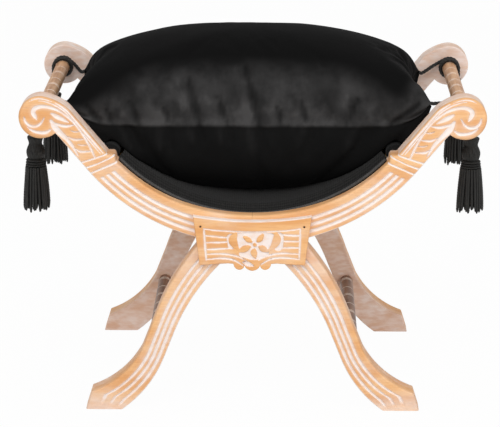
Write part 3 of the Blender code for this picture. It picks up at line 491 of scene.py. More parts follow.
def carved_arm():
    """The row where the scroll's curl starts, and the section of an arm with all its cuts."""
    outer, inner, angle, curl_row = arm_stations()
    rows = len(outer)
    on_rail = len(angle)
    plane = outer[:, None] + (inner - outer)[:, None] * FRONT_SHARE[:, None]
    local = (plane - SCROLL_CENTRE) / SCROLL_RADIUS
    depth, lime = np.zeros((2, rows, FRONT_SAMPLES))
    carved = slice(on_rail - STROKE_LEAD_ROWS, rows)
    depth[carved], lime[carved] = carve(local[carved, :, 0], local[carved, :, 1], ARM_STROKES, ARM_CUT_DEPTH)

    start = np.radians(FLUTE_START + FLUTE_SLANT * FRONT_SHARE)
    near_knuckle = smooth_step(start - angle[:, None], 0.0, FLUTE_FADE)
    cut, white = ribs(FRONT_SHARE[None], RAIL_WIDTH, near_knuckle)
    depth[:on_rail] = np.maximum(depth[:on_rail], cut)
    lime[:on_rail] = np.maximum(lime[:on_rail], white)
    rail_angle = np.arctan2(plane[..., 0], RAIL_CENTRE_Z - plane[..., 1])
    for upper, lower in KNUCKLE_LINES:
        line = np.radians(upper + (lower - upper) * FRONT_SHARE)
        near = np.clip(1.0 - ((rail_angle - line) * RAIL_RADIUS / KNUCKLE_LINE_HALF) ** 2, 0.0, 1.0)
        near[curl_row:] = 0.0
        depth = np.maximum(depth, KNUCKLE_LINE_DEPTH * near)
        lime = np.maximum(lime, smooth_step(near, 0.05, 0.45))
    edge_line = smooth_step(FRONT_SHARE, *EDGE_BAND) * EDGE_LIME
    lime[:curl_row] = np.maximum(lime[:curl_row], edge_line)

    length = run_length(outer)
    after_knuckle = (length - length[on_rail])[:, None]
    from_edge = FRONT_SHARE * np.linalg.norm(inner - outer, axis=1)[:, None]
    along_edge = np.repeat(after_knuckle, FRONT_SAMPLES, axis=1)
    cut, white = carve(along_edge[on_rail:], from_edge[on_rail:], EDGE_STROKES, EDGE_CUT_DEPTH)
    depth[on_rail:] = np.maximum(depth[on_rail:], cut)
    lime[on_rail:] = np.maximum(lime[on_rail:], white)
    depths = np.concatenate((LIP_SHARES * REBATE_LIP, REBATE_LIP + (BOARD - REBATE_LIP) * BACK_SHARES))[::-1]
    spread = np.broadcast_to(depths, (rows, WALL_SAMPLES))
    along_top = np.repeat(after_knuckle, WALL_SAMPLES, axis=1)
    top_cut, top_lime = carve(along_top, spread, TOP_STROKES, TOP_CUT_DEPTH)
    top_lime[on_rail:] = np.maximum(top_lime[on_rail:], TOP_HAZE)
    fade = np.ones(rows)
    fade[-SCROLL_FADE_ROWS:] = np.linspace(1.0, 0.0, SCROLL_FADE_ROWS)
    inner_fade = np.clip((curl_row - np.arange(rows)) / NOTCH_FADE_ROWS, 0.0, 1.0)
    outer_round = np.full(rows, ARM_EDGE_ROUND)
    at_knuckle = np.exp(-((angle - KNUCKLE_ANGLE) / KNUCKLE_HALF) ** 2)
    outer_round[:on_rail] = RAIL_EDGE_ROUND + KNUCKLE_EDGE_ROUND * at_knuckle
    rebate = np.zeros(rows)
    rebate[:on_rail] = np.where(angle < SEAT_ANGLE + sum(SEAT_END) / 2, REBATE_DEPTH + rail_crown(angle), 0.0)
    return curl_row, board_section({
        "outer": outer, "inner": inner, "depth": depth, "lime": lime, "back_lime": ARM_BACK_LIME,
        "outer_round": outer_round * fade, "inner_round": BACK_EDGE_ROUND * inner_fade,
        "back_round": BACK_EDGE_ROUND * fade, "rebate": rebate, "top_cut": top_cut, "top_lime": top_lime})


ARM_CURL_ROW, ARM_SECTION = carved_arm()
arms = four_boards("arm", ARM_SECTION, ARM_CURL_ROW)

# %% [markdown]
# ## Legs
# Each leg is an S that falls from the crossing under the plaque to a foot that turns out. The same three
# grooves run down it and die out above the toe. Its top is bent to the underside of the rail it stands under.

# %% Legs
LEG_SPACING = 0.030
LEG_TOP_SLOPE = math.radians(38.0)
LEG_KNEE_SLOPE = math.radians(68.5)
LEG_FLOOR_SLOPE = math.radians(36.0)
LEG_TOE_SLOPE = math.radians(27.0)
LEG_UPPER_RADIUS = 0.340
LEG_LOWER_RADIUS = 0.193
LEG_TOP_WIDTH = 0.048
LEG_KNEE_WIDTH = 0.037
LEG_FOOT_WIDTH = 0.050
TOE_RAKE = 0.009
LEG_GAP = 0.0003
LEG_TOP_RADIUS = UNDER_RADIUS + LEG_GAP
LEG_EDGE_ROUND = 0.0038
LEG_BACK_LIME = 0.25
PALE_FOOT = 0.55
PALE_TOP = 0.35
PALE_TOP_ROWS = (20, 70)
PALE_FOOT_ROWS = 45
TOP_FIT_ROWS = 14
UPPER_ROWS = 90
FOOT_ROWS = 100
GROOVE_STOP_ROWS = 4
GROOVE_FADE_ROWS = 20
GROOVE_FADE_SLANT = 6
EXTRA_SLOPE = 0.2


def outward(slope):
    """Unit vectors (x, z) that lean out from straight up by a slope."""
    return np.stack((np.sin(slope), np.cos(slope)), axis=-1)


def leg_centres():
    """The centres of a leg's two arcs."""
    top = rail_point(LEG_TOP_RADIUS, math.asin(LEG_SPACING / 2 / LEG_TOP_RADIUS))
    upper = top - LEG_UPPER_RADIUS * outward(LEG_TOP_SLOPE)
    knee = upper + LEG_UPPER_RADIUS * outward(LEG_KNEE_SLOPE)
    ankle_z = LEG_LOWER_RADIUS * (math.cos(LEG_FLOOR_SLOPE) - math.cos(LEG_KNEE_SLOPE))
    ankle = np.array((knee[0] + (knee[1] - ankle_z) / math.tan(LEG_KNEE_SLOPE), ankle_z))
    return upper, ankle + LEG_LOWER_RADIUS * outward(LEG_KNEE_SLOPE)


def even_path(points, count):
    """Points spread evenly along a line of many points."""
    length = run_length(points)
    wanted = np.linspace(0.0, length[-1], count)
    return np.stack([np.interp(wanted, length, points[:, axis]) for axis in range(points.shape[1])], axis=-1)


def leg_stations():
    """The outer and inner edge of a leg, from its top to the floor."""
    upper, lower = leg_centres()
    slope = np.linspace(LEG_TOP_SLOPE - EXTRA_SLOPE, LEG_KNEE_SLOPE, 400)
    share = (slope - LEG_KNEE_SLOPE) / (LEG_TOP_SLOPE - LEG_KNEE_SLOPE)
    width = LEG_KNEE_WIDTH + share * (LEG_TOP_WIDTH - LEG_KNEE_WIDTH)
    outer = upper + (LEG_UPPER_RADIUS + width)[:, None] * outward(slope)
    outer = outer[np.linalg.norm(outer - (0.0, RAIL_CENTRE_Z), axis=1) >= LEG_TOP_RADIUS]
    inner = upper + LEG_UPPER_RADIUS * outward(np.linspace(LEG_TOP_SLOPE, LEG_KNEE_SLOPE, 200))
    foot_share = np.linspace(0.0, 1.0, 200)
    slope = LEG_KNEE_SLOPE + foot_share * (LEG_TOE_SLOPE - LEG_KNEE_SLOPE)
    width = LEG_KNEE_WIDTH + foot_share * (LEG_FOOT_WIDTH - LEG_KNEE_WIDTH)
    outer_foot = lower - (LEG_LOWER_RADIUS - width)[:, None] * outward(slope)
    toe = np.array((outer_foot[-1, 0] + TOE_RAKE, 0.0))
    outer_foot = np.vstack((outer_foot, toe))
    inner_foot = lower - LEG_LOWER_RADIUS * outward(np.linspace(LEG_KNEE_SLOPE, LEG_FLOOR_SLOPE, 200))
    inner_foot[-1, 1] = 0.0
    outer = np.vstack((even_path(outer, UPPER_ROWS), even_path(outer_foot, FOOT_ROWS)))
    inner = np.vstack((even_path(inner, UPPER_ROWS), even_path(inner_foot, FOOT_ROWS)))
    return outer, inner


def carved_leg():
    """The section of a leg with its grooves, its top bent to the underside of the rail."""
    outer, inner = leg_stations()
    rows = len(outer)
    width = np.linalg.norm(inner - outer, axis=1)[:, None]
    row = np.arange(rows)
    fade_row = rows - GROOVE_FADE_ROWS + GROOVE_FADE_SLANT * FRONT_SHARE
    to_foot = smooth_step(row[:, None], rows - GROOVE_STOP_ROWS, fade_row)
    depth, lime = ribs(FRONT_SHARE[None], width, to_foot)
    lime = np.maximum(lime, smooth_step(FRONT_SHARE, *EDGE_BAND) * EDGE_LIME)
    pale_foot = smooth_step(row, rows - PALE_FOOT_ROWS, rows) * PALE_FOOT
    pale_top = (1 - smooth_step(row, *PALE_TOP_ROWS)) * PALE_TOP
    lime = np.maximum(lime, (pale_foot + pale_top)[:, None])
    back_round = np.full(rows, BACK_EDGE_ROUND)
    plain_top = np.zeros((rows, WALL_SAMPLES))
    section = board_section({
        "outer": outer, "inner": inner, "depth": depth, "lime": lime, "back_lime": LEG_BACK_LIME,
        "outer_round": np.full(rows, LEG_EDGE_ROUND), "inner_round": back_round, "back_round": back_round,
        "rebate": np.zeros(rows), "top_cut": plain_top, "top_lime": plain_top})
    corners = section[0]
    run = outer[0] - inner[0]
    fall = np.array((run[1], -run[0])) / np.linalg.norm(run)
    fall = fall if fall[1] < 0 else -fall
    from_middle = corners[0][:, (0, 2)] - (0.0, RAIL_CENTRE_Z)
    along = from_middle @ fall
    short = np.sqrt(along ** 2 + LEG_TOP_RADIUS ** 2 - (from_middle ** 2).sum(axis=1)) - along
    fade = np.clip(1.0 - row / TOP_FIT_ROWS, 0.0, 1.0)[:, None]
    corners[..., 0] += fade * short * fall[0]
    corners[..., 2] += fade * short * fall[1]
    return section


legs = four_boards("leg", carved_leg())

# %% [markdown]
# ## Plaques
# The plaque over the crossing has a plain raised border and a sunk field. In the field, bars run in from both
# sides to a pair of leaves and a five-petalled flower on a limed ground. Here the strokes work both ways:
# cuts for the white lines, and bosses that leave a petal or leaf standing. Places are in millimetres from the
# middle of the upper edge, to the right and down.

# %% Plaques
PLAQUE_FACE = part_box("rear_plaque")[1].y
PLAQUE_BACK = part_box("rear_plaque")[0].y
PLAQUE_HALF_WIDTH = 0.0915
PLAQUE_HEIGHT = 0.0715
PLAQUE_TAPER = 0.010
PLAQUE_DIP = 0.008
PLAQUE_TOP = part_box("rear_plaque")[1].z - PLAQUE_DIP
PLAQUE_ARCH = 0.003
LOBES = ((0.0, 0.012), (0.0205, 0.0085), (-0.0205, 0.0085))
LOBE_DEPTH = 0.009
LOBE_SHOULDER = 0.0375
NAIL_X = 80.0
NAIL_DOWN = 9.4
NAIL_SINK = 1.4 * MM
NAIL_HOLE = (2.6, 1.7)
BOSS_DROP = 0.9 * MM
BOSS_RISE = 0.8 * MM
BORDER_HEIGHT = 17.6
PLAQUE_CUT_DEPTH = 1.5 * MM
PLAQUE_GROUND_DEPTH = 2.4 * MM
PLAQUE_EDGE_ROUND = 1.8 * MM
UPPER_RIM_WHITE = 0.9
PLAQUE_LINES = [
    [(-74.5, 12.6, 1.1), (-50, 15.4, 1.3), (0, 17.6, 1.4), (50, 15.2, 1.3), (74.0, 12.0, 1.1)],
    [(-74.5, 12.6, 1.2), (-73.0, 35, 2.0), (-71.0, 62, 1.4)],
    [(74.0, 12.0, 1.1), (73.6, 35, 1.7), (72.5, 61, 1.2)],
    [(-72, 23.5, 1.0), (-55, 25.0, 1.7), (-36, 27.0, 1.0)],
    [(-72, 34.8, 1.0), (-55, 34.3, 1.6), (-39, 33.6, 1.2)],
    [(-72, 46.0, 1.0), (-55, 44.8, 1.7), (-35, 44.0, 1.0)],
    [(45, 21.5, 1.0), (60, 22.6, 1.7), (73, 22.6, 1.0)],
    [(46, 32.0, 1.2), (60, 32.2, 1.6), (73, 32.4, 1.0)],
    [(44, 43.0, 1.0), (60, 42.4, 1.7), (72, 42.4, 1.0)],
    [(-71, 53.5, 1.0), (-45, 52.8, 1.5), (-24, 56.5, 1.5), (-9, 63.5, 0.8)],
    [(71, 52.6, 1.0), (45, 51.6, 1.5), (24, 55.5, 1.5), (10, 62.5, 0.8)],
    [(-71, 62.0, 1.2), (-48, 59.8, 1.6), (-29, 62.5, 1.6), (-14, 71.5, 0.8)],
    [(73, 61.0, 1.2), (48, 58.6, 1.6), (29, 60.8, 1.6), (13, 70.0, 0.8)],
]
PLAQUE_BOSSES = [
    [(-1.0, 33.6, 1.4), (-6.0, 30.2, 4.6), (-12.0, 26.0, 2.6)],
    [(8.0, 33.0, 1.4), (12.0, 28.6, 5.0), (16.0, 22.5, 2.6)],
    [(-3.0, 41.2, 1.4), (-11.5, 44.6, 6.0), (-20.0, 48.5, 2.2)],
    [(10.5, 41.0, 1.4), (16.5, 44.2, 5.6), (23.0, 48.5, 2.2)],
    [(3.6, 45.0, 1.4), (2.6, 51.0, 5.6), (5.0, 59.0, 1.6)],
    [(-25.5, 20.5, 2.8), (-29.8, 29.5, 7.2), (-27.5, 37.5, 6.0), (-21.0, 47.5, 1.4)],
    [(36.5, 19.5, 2.8), (38.0, 29.0, 7.0), (34.5, 37.5, 6.0), (25.5, 48.0, 1.4)],
    [(3.6, 37.8, 3.0), (4.2, 38.6, 3.0)],
]
PLAQUE_GROUND = [
    [(-33, 27, 7.0), (-32, 40, 6.0)],
    [(-20, 30, 12.0), (3, 35, 19.0), (26, 30, 12.0)],
    [(40, 26, 9.0), (40, 40, 8.0)],
    [(-14, 52, 7.0), (4, 55, 8.0), (20, 52, 6.0)],
    [(-14, 66.5, 1.6), (-7, 69.0, 4.2), (1, 72.0, 1.6)],
]


def plaque_lower_edge(x):
    """The scalloped lower edge's height at x."""
    low = PLAQUE_TOP - PLAQUE_HEIGHT
    foot = PLAQUE_HALF_WIDTH - PLAQUE_TAPER
    away = np.abs(x)
    edge = low + PLAQUE_ARCH * np.minimum(away / LOBE_SHOULDER, (foot - away) / (foot - LOBE_SHOULDER))
    for middle, radius in LOBES:
        edge = edge - LOBE_DEPTH * np.sqrt(np.clip(1.0 - ((x - middle) / radius) ** 2, 0.0, None))
    return edge


def carved_plaque():
    """The corners (x, depth, z) of the plaque's front, and its lime."""
    u = np.linspace(-1.0, 1.0, 229)[:, None]
    v = np.linspace(0.0, 1.0, 101)[None]
    x = u * (PLAQUE_HALF_WIDTH - PLAQUE_TAPER * v)
    top = PLAQUE_TOP + PLAQUE_DIP * u ** 2
    lower = plaque_lower_edge(u * (PLAQUE_HALF_WIDTH - PLAQUE_TAPER))
    z = top + (lower - top) * v
    right, down = x / MM, (PLAQUE_TOP - z) / MM
    depth, lime = carve(right, down, PLAQUE_LINES, PLAQUE_CUT_DEPTH)
    ground = np.zeros_like(depth)
    for stroke in PLAQUE_GROUND:
        ground = np.maximum(ground, smooth_step(gouge(right, down, stroke), 0.0, 0.25))
    below_border = down - BORDER_HEIGHT + PLAQUE_DIP / MM * (x / PLAQUE_HALF_WIDTH) ** 2
    inside = smooth_step(below_border, -0.5, 1.5)
    boss = np.zeros_like(depth)
    for stroke in PLAQUE_BOSSES:
        boss = np.maximum(boss, gouge(right, down, stroke))
    standing = smooth_step(boss, 0.0, 0.35)
    sunk = ground * inside * (1.0 - standing)
    depth = np.maximum(depth * (1.0 - standing), PLAQUE_GROUND_DEPTH * sunk)
    depth = depth + standing * (BOSS_DROP - BOSS_RISE * boss)
    lime = np.maximum(lime * (1.0 - standing), smooth_step(sunk, 0.15, 0.75))
    for side in SIDES.values():
        near = np.hypot(right - side * NAIL_X, down - NAIL_DOWN)
        depth = np.maximum(depth, NAIL_SINK * smooth_step(near, *NAIL_HOLE))
    # A white band along the upper rim.
    upper_rim = v * (top - lower) / MM
    lime = np.maximum(lime, UPPER_RIM_WHITE * smooth_step(upper_rim, 2.6, 1.0))
    from_rim = np.minimum((1 - np.abs(u)) * PLAQUE_HALF_WIDTH, np.minimum(v, 1 - v) * (top - lower))
    depth = depth + edge_round(from_rim, PLAQUE_EDGE_ROUND)
    return np.stack((x, depth, z), axis=-1), lime


PLAQUE_CORNERS, PLAQUE_LIME = carved_plaque()
plaques = []
for end_name, end in ENDS.items():
    node = f"{end_name}_plaque"
    places = PLAQUE_CORNERS.copy()
    places[..., 0] *= -end
    places[..., 1] = end * (PLAQUE_FACE - PLAQUE_CORNERS[..., 1])
    plaque = add_grid(f"{node}_carved", places, lime=PLAQUE_LIME, wash=np.zeros_like(PLAQUE_LIME))
    to_back = (0.0, end * (PLAQUE_BACK - PLAQUE_FACE), 0.0)
    bpy.ops.object.mode_set(mode="EDIT")
    bpy.ops.mesh.select_all(action="SELECT")
    bpy.ops.mesh.extrude_region_move(TRANSFORM_OT_translate={"value": to_back})
    bpy.ops.transform.resize(value=(1.0, 0.0, 1.0), center_override=(0.0, end * PLAQUE_BACK, 0.0))
    bpy.ops.object.mode_set(mode="OBJECT")
    plaques.append(carry(close_up(plaque), "frame", "limed_oak", node))
print(len(plaques), "plaques of", len(plaque.data.polygons), "faces")

# %% [markdown]
# ## Ring-turned rods
# The handrails between the scrolls and the stretchers between the legs were turned on a lathe, with fine
# rings cut in and limed: a line at each of eight places, doubled at every other one. A rod is a grid whose
# columns run round it.

# %% Handrails and stretchers
ROD_SIDES = 40
RING_COUNT = 8
RING_HALF_WIDTH = 0.0019
RING_PAIR = 0.006
RING_DEPTH = 0.0009
ROD_GAP = 0.0003
ROD_EDGE_ROUND = 0.0015
ROD_ROWS = 560
HANDRAIL_RADIUS = 0.0115
STRETCHER_RADIUS = 0.011


def turned_rod(node, radius):
    """A rod in the place of a packed one, as far as it shows between the boards."""
    low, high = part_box(node)
    middle = (low + high) / 2
    half = INNER_FACE - ROD_GAP
    y = np.linspace(-half, half, ROD_ROWS)
    spacing = 2 * half / RING_COUNT
    cut = np.zeros_like(y)
    for ring in range(RING_COUNT):
        place = -half + spacing * (ring + 0.5)
        for line in (place, place + RING_PAIR * (ring % 2)):
            cut = np.maximum(cut, 1.0 - ((y - line) / RING_HALF_WIDTH) ** 2)
    cut = np.clip(cut, 0.0, 1.0)
    turn = np.linspace(0.0, 2 * math.pi, ROD_SIDES + 1)
    reach = (radius - RING_DEPTH * cut - edge_round(half - np.abs(y), ROD_EDGE_ROUND))[:, None]
    places = np.stack((middle.x + reach * np.cos(turn), np.repeat(y[:, None], len(turn), axis=1),
                       middle.z + reach * np.sin(turn)), axis=-1)
    lime = np.repeat(smooth_step(cut, 0.05, 0.5)[:, None], len(turn), axis=1)
    rod = close_up(add_grid(f"{node}_turned", places, lime=lime))
    return carry(rod, "frame", "turned_oak", node)


handrails = [turned_rod(f"{side_name}_handrail", HANDRAIL_RADIUS) for side_name in SIDES]
stretchers = [turned_rod(f"{side_name}_stretcher", STRETCHER_RADIUS) for side_name in SIDES]
print("rods", [rod.name for rod in handrails + stretchers])

# %% [markdown]
# ## The sling seat
# Five webbing straps run from rail to rail in the rebates. A base cloth lies on them, then a thin pad, and
# over it the black cover, pulled down to the rebates at front and rear. All follow the rails' curve, so each
# is a grid in angle and depth. Solidify gives a cloth its thickness, and the cover's pull is in its profile.

# %% Seat layers
CLEAR = 0.0003
SOFT_GAP = 0.0004
REBATE_RADIUS = TOP_RADIUS + REBATE_DEPTH
STRAP_RADIUS = REBATE_RADIUS - CLEAR
STRAP_THICKNESS = 0.002
STRAP_WIDTH = 0.050
STRAP_COUNT = 5
STRAP_COLUMNS = 25
STRAP_SAG = 0.0004
STRAP_EDGE_FALL = 0.0002
STRAP_EASE = 0.0001
BASE_RADIUS = STRAP_RADIUS - STRAP_THICKNESS - CLEAR
BASE_THICKNESS = 0.001
PAD_RADIUS = BASE_RADIUS - BASE_THICKNESS - CLEAR
PAD_THICKNESS = 0.010
PAD_MARGIN = 0.012
PAD_BEVEL = 0.003
COVER_CROWN = PAD_RADIUS - PAD_THICKNESS - CLEAR
COVER_THICKNESS = 0.0015
COVER_PULL_START = 0.004
COVER_PULL_STOP = 0.0075
COVER_PULL_DEPTH = 0.00035
SEAT_TOP = COVER_CROWN - COVER_THICKNESS
SEAT_REACH = FRONT_FACE - REBATE_LIP - CLEAR


def sling_grid(name, radius, angles, depths):
    """A sheet about the rail's centre: one row for each depth, one column for each angle."""
    angle, depth = np.meshgrid(angles, depths)
    plane = rail_point(radius, angle)
    return add_grid(name, np.stack((plane[..., 0], depth, plane[..., 1]), axis=-1))


def thicken(sheet, thickness):
    """Give a sheet its thickness, towards the rail's centre."""
    bpy.ops.object.mode_set(mode="EDIT")
    bpy.ops.mesh.select_all(action="SELECT")
    bpy.ops.mesh.normals_make_consistent(inside=False)
    bpy.ops.object.mode_set(mode="OBJECT")
    if sheet.data.polygons[len(sheet.data.polygons) // 2].normal.z < 0:
        sheet.data.flip_normals()
    solidify = sheet.modifiers.new("thickness", "SOLIDIFY")
    solidify.thickness = thickness
    solidify.offset = 1.0
    bpy.ops.object.modifier_apply(modifier=solidify.name)
    bpy.ops.object.shade_smooth_by_angle(angle=math.radians(EDGED_SHADING))
    return sheet


straps = []
strap_half = STRAP_WIDTH / 2 / REBATE_RADIUS
depths = np.linspace(-SEAT_REACH, SEAT_REACH, 90)
sag = STRAP_SAG * np.cos(depths[:, None] / SEAT_REACH * math.pi / 2)
strap_radius = STRAP_RADIUS + sag - STRAP_EDGE_FALL * np.linspace(-1, 1, STRAP_COLUMNS) ** 8
for number in range(STRAP_COUNT):
    node = f"seat_strap_{number + 1}"
    middle = (SEAT_ANGLE - strap_half) * (2 * number / (STRAP_COUNT - 1) - 1)
    angles = middle + np.linspace(-strap_half, strap_half, STRAP_COLUMNS)
    strap = sling_grid(f"{node}_webbing", strap_radius, angles, depths)
    thicken(strap, STRAP_THICKNESS - STRAP_EASE)
    straps.append(carry(strap, "frame", "webbing", node))

angles = np.linspace(-SEAT_ANGLE, SEAT_ANGLE, 121)
depths = np.linspace(-SEAT_REACH, SEAT_REACH, 81)
base_cloth = sling_grid("seat_base_cloth_woven", BASE_RADIUS, angles, depths)
carry(thicken(base_cloth, BASE_THICKNESS), "frame", "base_cloth", "seat_base_cloth")
2 * SEAT_ANGLE * BASE_RADIUS

pad_angle = SEAT_ANGLE - PAD_MARGIN / REBATE_RADIUS
pad_depth = INNER_FACE - PAD_MARGIN
pad = sling_grid("seat_pad_foam", PAD_RADIUS, np.linspace(-pad_angle, pad_angle, 61),
                 np.linspace(-pad_depth, pad_depth, 41))
thicken(pad, PAD_THICKNESS)
bevel = pad.modifiers.new("soft_edges", "BEVEL")
bevel.width = PAD_BEVEL
bevel.segments = 3
bevel.limit_method = "ANGLE"
bevel.angle_limit = math.radians(50.0)
bpy.ops.object.modifier_apply(modifier=bevel.name)
carry(pad, "frame", "foam", "seat_pad")

depths = np.linspace(-SEAT_REACH, SEAT_REACH, 161)
pulled = smooth_step(np.abs(depths), pad_depth - COVER_PULL_START, pad_depth + COVER_PULL_STOP)[:, None]
pulls = COVER_PULL_DEPTH * np.sin(angles[None] * 95.0) * np.sin(angles[None] * 37.0 + 0.6)
near_edge = smooth_step(np.abs(depths), 0.10, pad_depth + COVER_PULL_START)[:, None]
cover_radius = COVER_CROWN + (PAD_RADIUS - COVER_CROWN) * pulled - np.abs(pulls) * near_edge * (1 - pulled)
cover = sling_grid("seat_cover_cloth", cover_radius, angles, depths)
carry(thicken(cover, COVER_THICKNESS), "frame", "seat_cloth", "seat_cover")
cover_drop = PAD_RADIUS - COVER_CROWN
2 * SEAT_ANGLE * (COVER_CROWN + cover_drop * 0.1)
2 * SEAT_REACH + cover_drop
print("seat layers", [piece.name for piece in (*straps, base_cloth, pad, cover)])

# %% [markdown]
# ## Rolls and braid
# A stuffed roll of the cover's cloth closes each end of the seat, and a ribbed braid hides the tacks along
# both rails. Both are tubes along a line. The roll is squeezed up into the corner under the cushion, so its
# section is drawn out that way. A twist in the section gives the braid its ribs.

# %% Tubes, rolls and braid
ROLL_RADIUS = 0.012
ROLL_DRAW = 0.36
ROLL_LEAN = 0.5
ROLL_UNEVENNESS = 0.02
ROLL_END_ROUND = 0.005
BRAID_RADIUS = 0.003
BRAID_PITCH = 0.014


def frames_along(points):
    """Two unit side directions at each point of a line, turned as little as possible."""
    tangent = np.gradient(points, axis=0)
    tangent /= np.linalg.norm(tangent, axis=1)[:, None]
    side = np.cross(tangent[0], (0.31, 0.17, 0.93))
    sides = []
    for direction in tangent:
        side = side - direction * (side @ direction)
        side = side / np.linalg.norm(side)
        sides.append(side)
    sides = np.array(sides)
    return sides, np.cross(tangent, sides)


def tube_places(points, radius, columns, plies=0, pitch=1.0, groove=0.0):
    """Places round a line, as a plain tube or a cord of a few plies that turn once in each pitch."""
    side, up = frames_along(points)
    turn = np.linspace(0.0, 2 * math.pi, columns + 1)[None]
    reach = np.broadcast_to(radius, (len(points),))[:, None]
    if plies:
        phase = plies / 2 * (turn - 2 * math.pi * run_length(points)[:, None] / pitch)
        reach = reach * (1 - groove + groove * np.abs(np.cos(phase)))
    return points[:, None] + reach[..., None] * (np.cos(turn)[..., None] * side[:, None]
                                                 + np.sin(turn)[..., None] * up[:, None])


def round_piece(name, places):
    """A closed piece that is shaded smooth over its ribs and plies."""
    return close_up(add_grid(name, places), ROUND_SHADING)


rolls = []
for side_name, side in SIDES.items():
    angle = SEAT_ANGLE + (ROLL_RADIUS + SOFT_GAP) / SEAT_TOP
    middle = rail_point(COVER_CROWN + ROLL_RADIUS, angle)
    y = np.linspace(-1.0, 1.0, 150) * (INNER_FACE - SOFT_GAP)
    line = np.stack((np.full_like(y, side * middle[0]), y, np.full_like(y, middle[1])), axis=-1)
    swell = ROLL_RADIUS * (1 - ROLL_UNEVENNESS * (np.sin(y * 210.0) ** 2 + np.sin(y * 83.0) ** 2))
    swell = swell - edge_round(INNER_FACE - SOFT_GAP - np.abs(y), ROLL_END_ROUND)
    places = tube_places(line, swell, 24)
    lean = np.array((side * math.cos(ROLL_LEAN), 0.0, math.sin(ROLL_LEAN)))
    ahead = np.clip((places - line[:, None]) @ lean, 0.0, None)
    places = places + ROLL_DRAW * ahead[..., None] * lean
    roll = round_piece(f"{side_name}_seat_roll_stuffed", places)
    rolls.append(carry(roll, "frame", "seat_cloth", f"{side_name}_seat_roll"))

braids = []
for end_name, end in ENDS.items():
    angle = np.linspace(-SEAT_ANGLE, SEAT_ANGLE, 420)
    plane = rail_point(PAD_RADIUS - COVER_THICKNESS - SOFT_GAP - BRAID_RADIUS, angle)
    y = np.full_like(angle, end * (SEAT_REACH + CLEAR - BRAID_RADIUS))
    line = np.stack((plane[:, 0], y, plane[:, 1]), axis=-1)
    places = tube_places(line, BRAID_RADIUS, 16, plies=4, pitch=BRAID_PITCH, groove=0.30)
    braid = round_piece(f"{end_name}_braid_ribbed", places)
    braids.append(carry(braid, "frame", "black_trim", f"{end_name}_braid"))
print("rolls and braid", [piece.name for piece in rolls + braids])

# %% [markdown]
# ## The cushion
# The cushion is two flat panels of velvet, sewn together at a knife edge and stuffed. Its full form follows
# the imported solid. What a formula can't give is how the panels pucker where the seam is too long for the
# bulge, so two flat panels are blown up as cloth, and what the cloth has beyond a smoothed copy of itself is
# laid on the form. The underside is kept on the seat.

# %% The cushion's form
HALF_WIDTH = 0.281
OFF_CENTRE = -0.007
HALF_DEPTH = 0.160
SEAM_Z = 0.450
FRONT_EAR_RISE = 0.037
REAR_EAR_RISE = 0.014
EAR_SHARPNESS = 12
CROWN = 0.125
BELLY = 0.135
DRAW_IN = 0.06
SIDE_DRAW_IN = 0.088
CORNER_SHARPNESS = 8
PLUMPNESS = 0.57
SIDE_PLUMPNESS = 0.54
CLIMB_SHARE = 0.67
OVERHANG_ANGLE = math.radians(35.0)


def sling_height(x):
    """The height of what the cushion rests on: the seat's top, then over the roll and down past it."""
    end = rail_point(SEAT_TOP, SEAT_ANGLE)
    past = np.clip(np.abs(x) - end[0], 0.0, None)
    climb = np.minimum(past, CLIMB_SHARE * 2 * ROLL_RADIUS)
    inside = np.minimum(np.abs(x), end[0])
    overhang = np.clip(past - 2 * ROLL_RADIUS, 0.0, None)
    return (RAIL_CENTRE_Z - np.sqrt(SEAT_TOP ** 2 - inside ** 2) + climb * math.tan(SEAT_ANGLE)
            - overhang * math.tan(OVERHANG_ANGLE))


def pillow(u, v, side):
    """The cushion's upper (1) or lower (-1) face, at shares u and v of its width and depth."""
    run, cross = np.sin(u * math.pi / 2), np.sin(v * math.pi / 2)
    side_fall = np.clip(np.cos(u * math.pi / 2), 0.0, None)
    end_fall = np.clip(np.cos(v * math.pi / 2), 0.0, None)
    reach = HALF_WIDTH * run * (1 - SIDE_DRAW_IN * (1 - cross ** 2))
    x = OFF_CENTRE + reach
    y = HALF_DEPTH * cross * (1 - DRAW_IN * (1 - run ** 2))
    ear_rise = ((1 - cross) * FRONT_EAR_RISE + (1 + cross) * REAR_EAR_RISE) / 2
    seam = SEAM_Z + ear_rise * (reach / HALF_WIDTH) ** EAR_SHARPNESS
    swell = side_fall ** SIDE_PLUMPNESS * end_fall ** PLUMPNESS * (1 - (run * cross) ** CORNER_SHARPNESS)
    if side > 0:
        z = seam + CROWN * swell
    else:
        z = np.minimum(seam, np.maximum(seam - BELLY * swell, sling_height(x) + 2 * SOFT_GAP))
    return np.stack((x, y, z), axis=-1)


def even_shares(count, along_width):
    """Shares that step evenly over the surface, along the middle of the upper face."""
    share = np.linspace(-1.0, 1.0, 2001)
    none = np.zeros_like(share)
    line = pillow(share, none, 1) if along_width else pillow(none, share, 1)
    length = run_length(line)
    return np.interp(np.linspace(0.0, length[-1], count), length, share), length[-1]


_, PANEL_WIDTH = even_shares(3, True)
_, PANEL_DEPTH = even_shares(3, False)
print("panel over the bulge", round(PANEL_WIDTH, 3), round(PANEL_DEPTH, 3))

# %% [markdown]
# The two panels share their rim. In the grid the columns run over the top and back under it, so the long
# edge closes by itself, and the first and last rows fold flat and are merged. An attribute keeps each
# corner's place in the grid while doubles are merged.

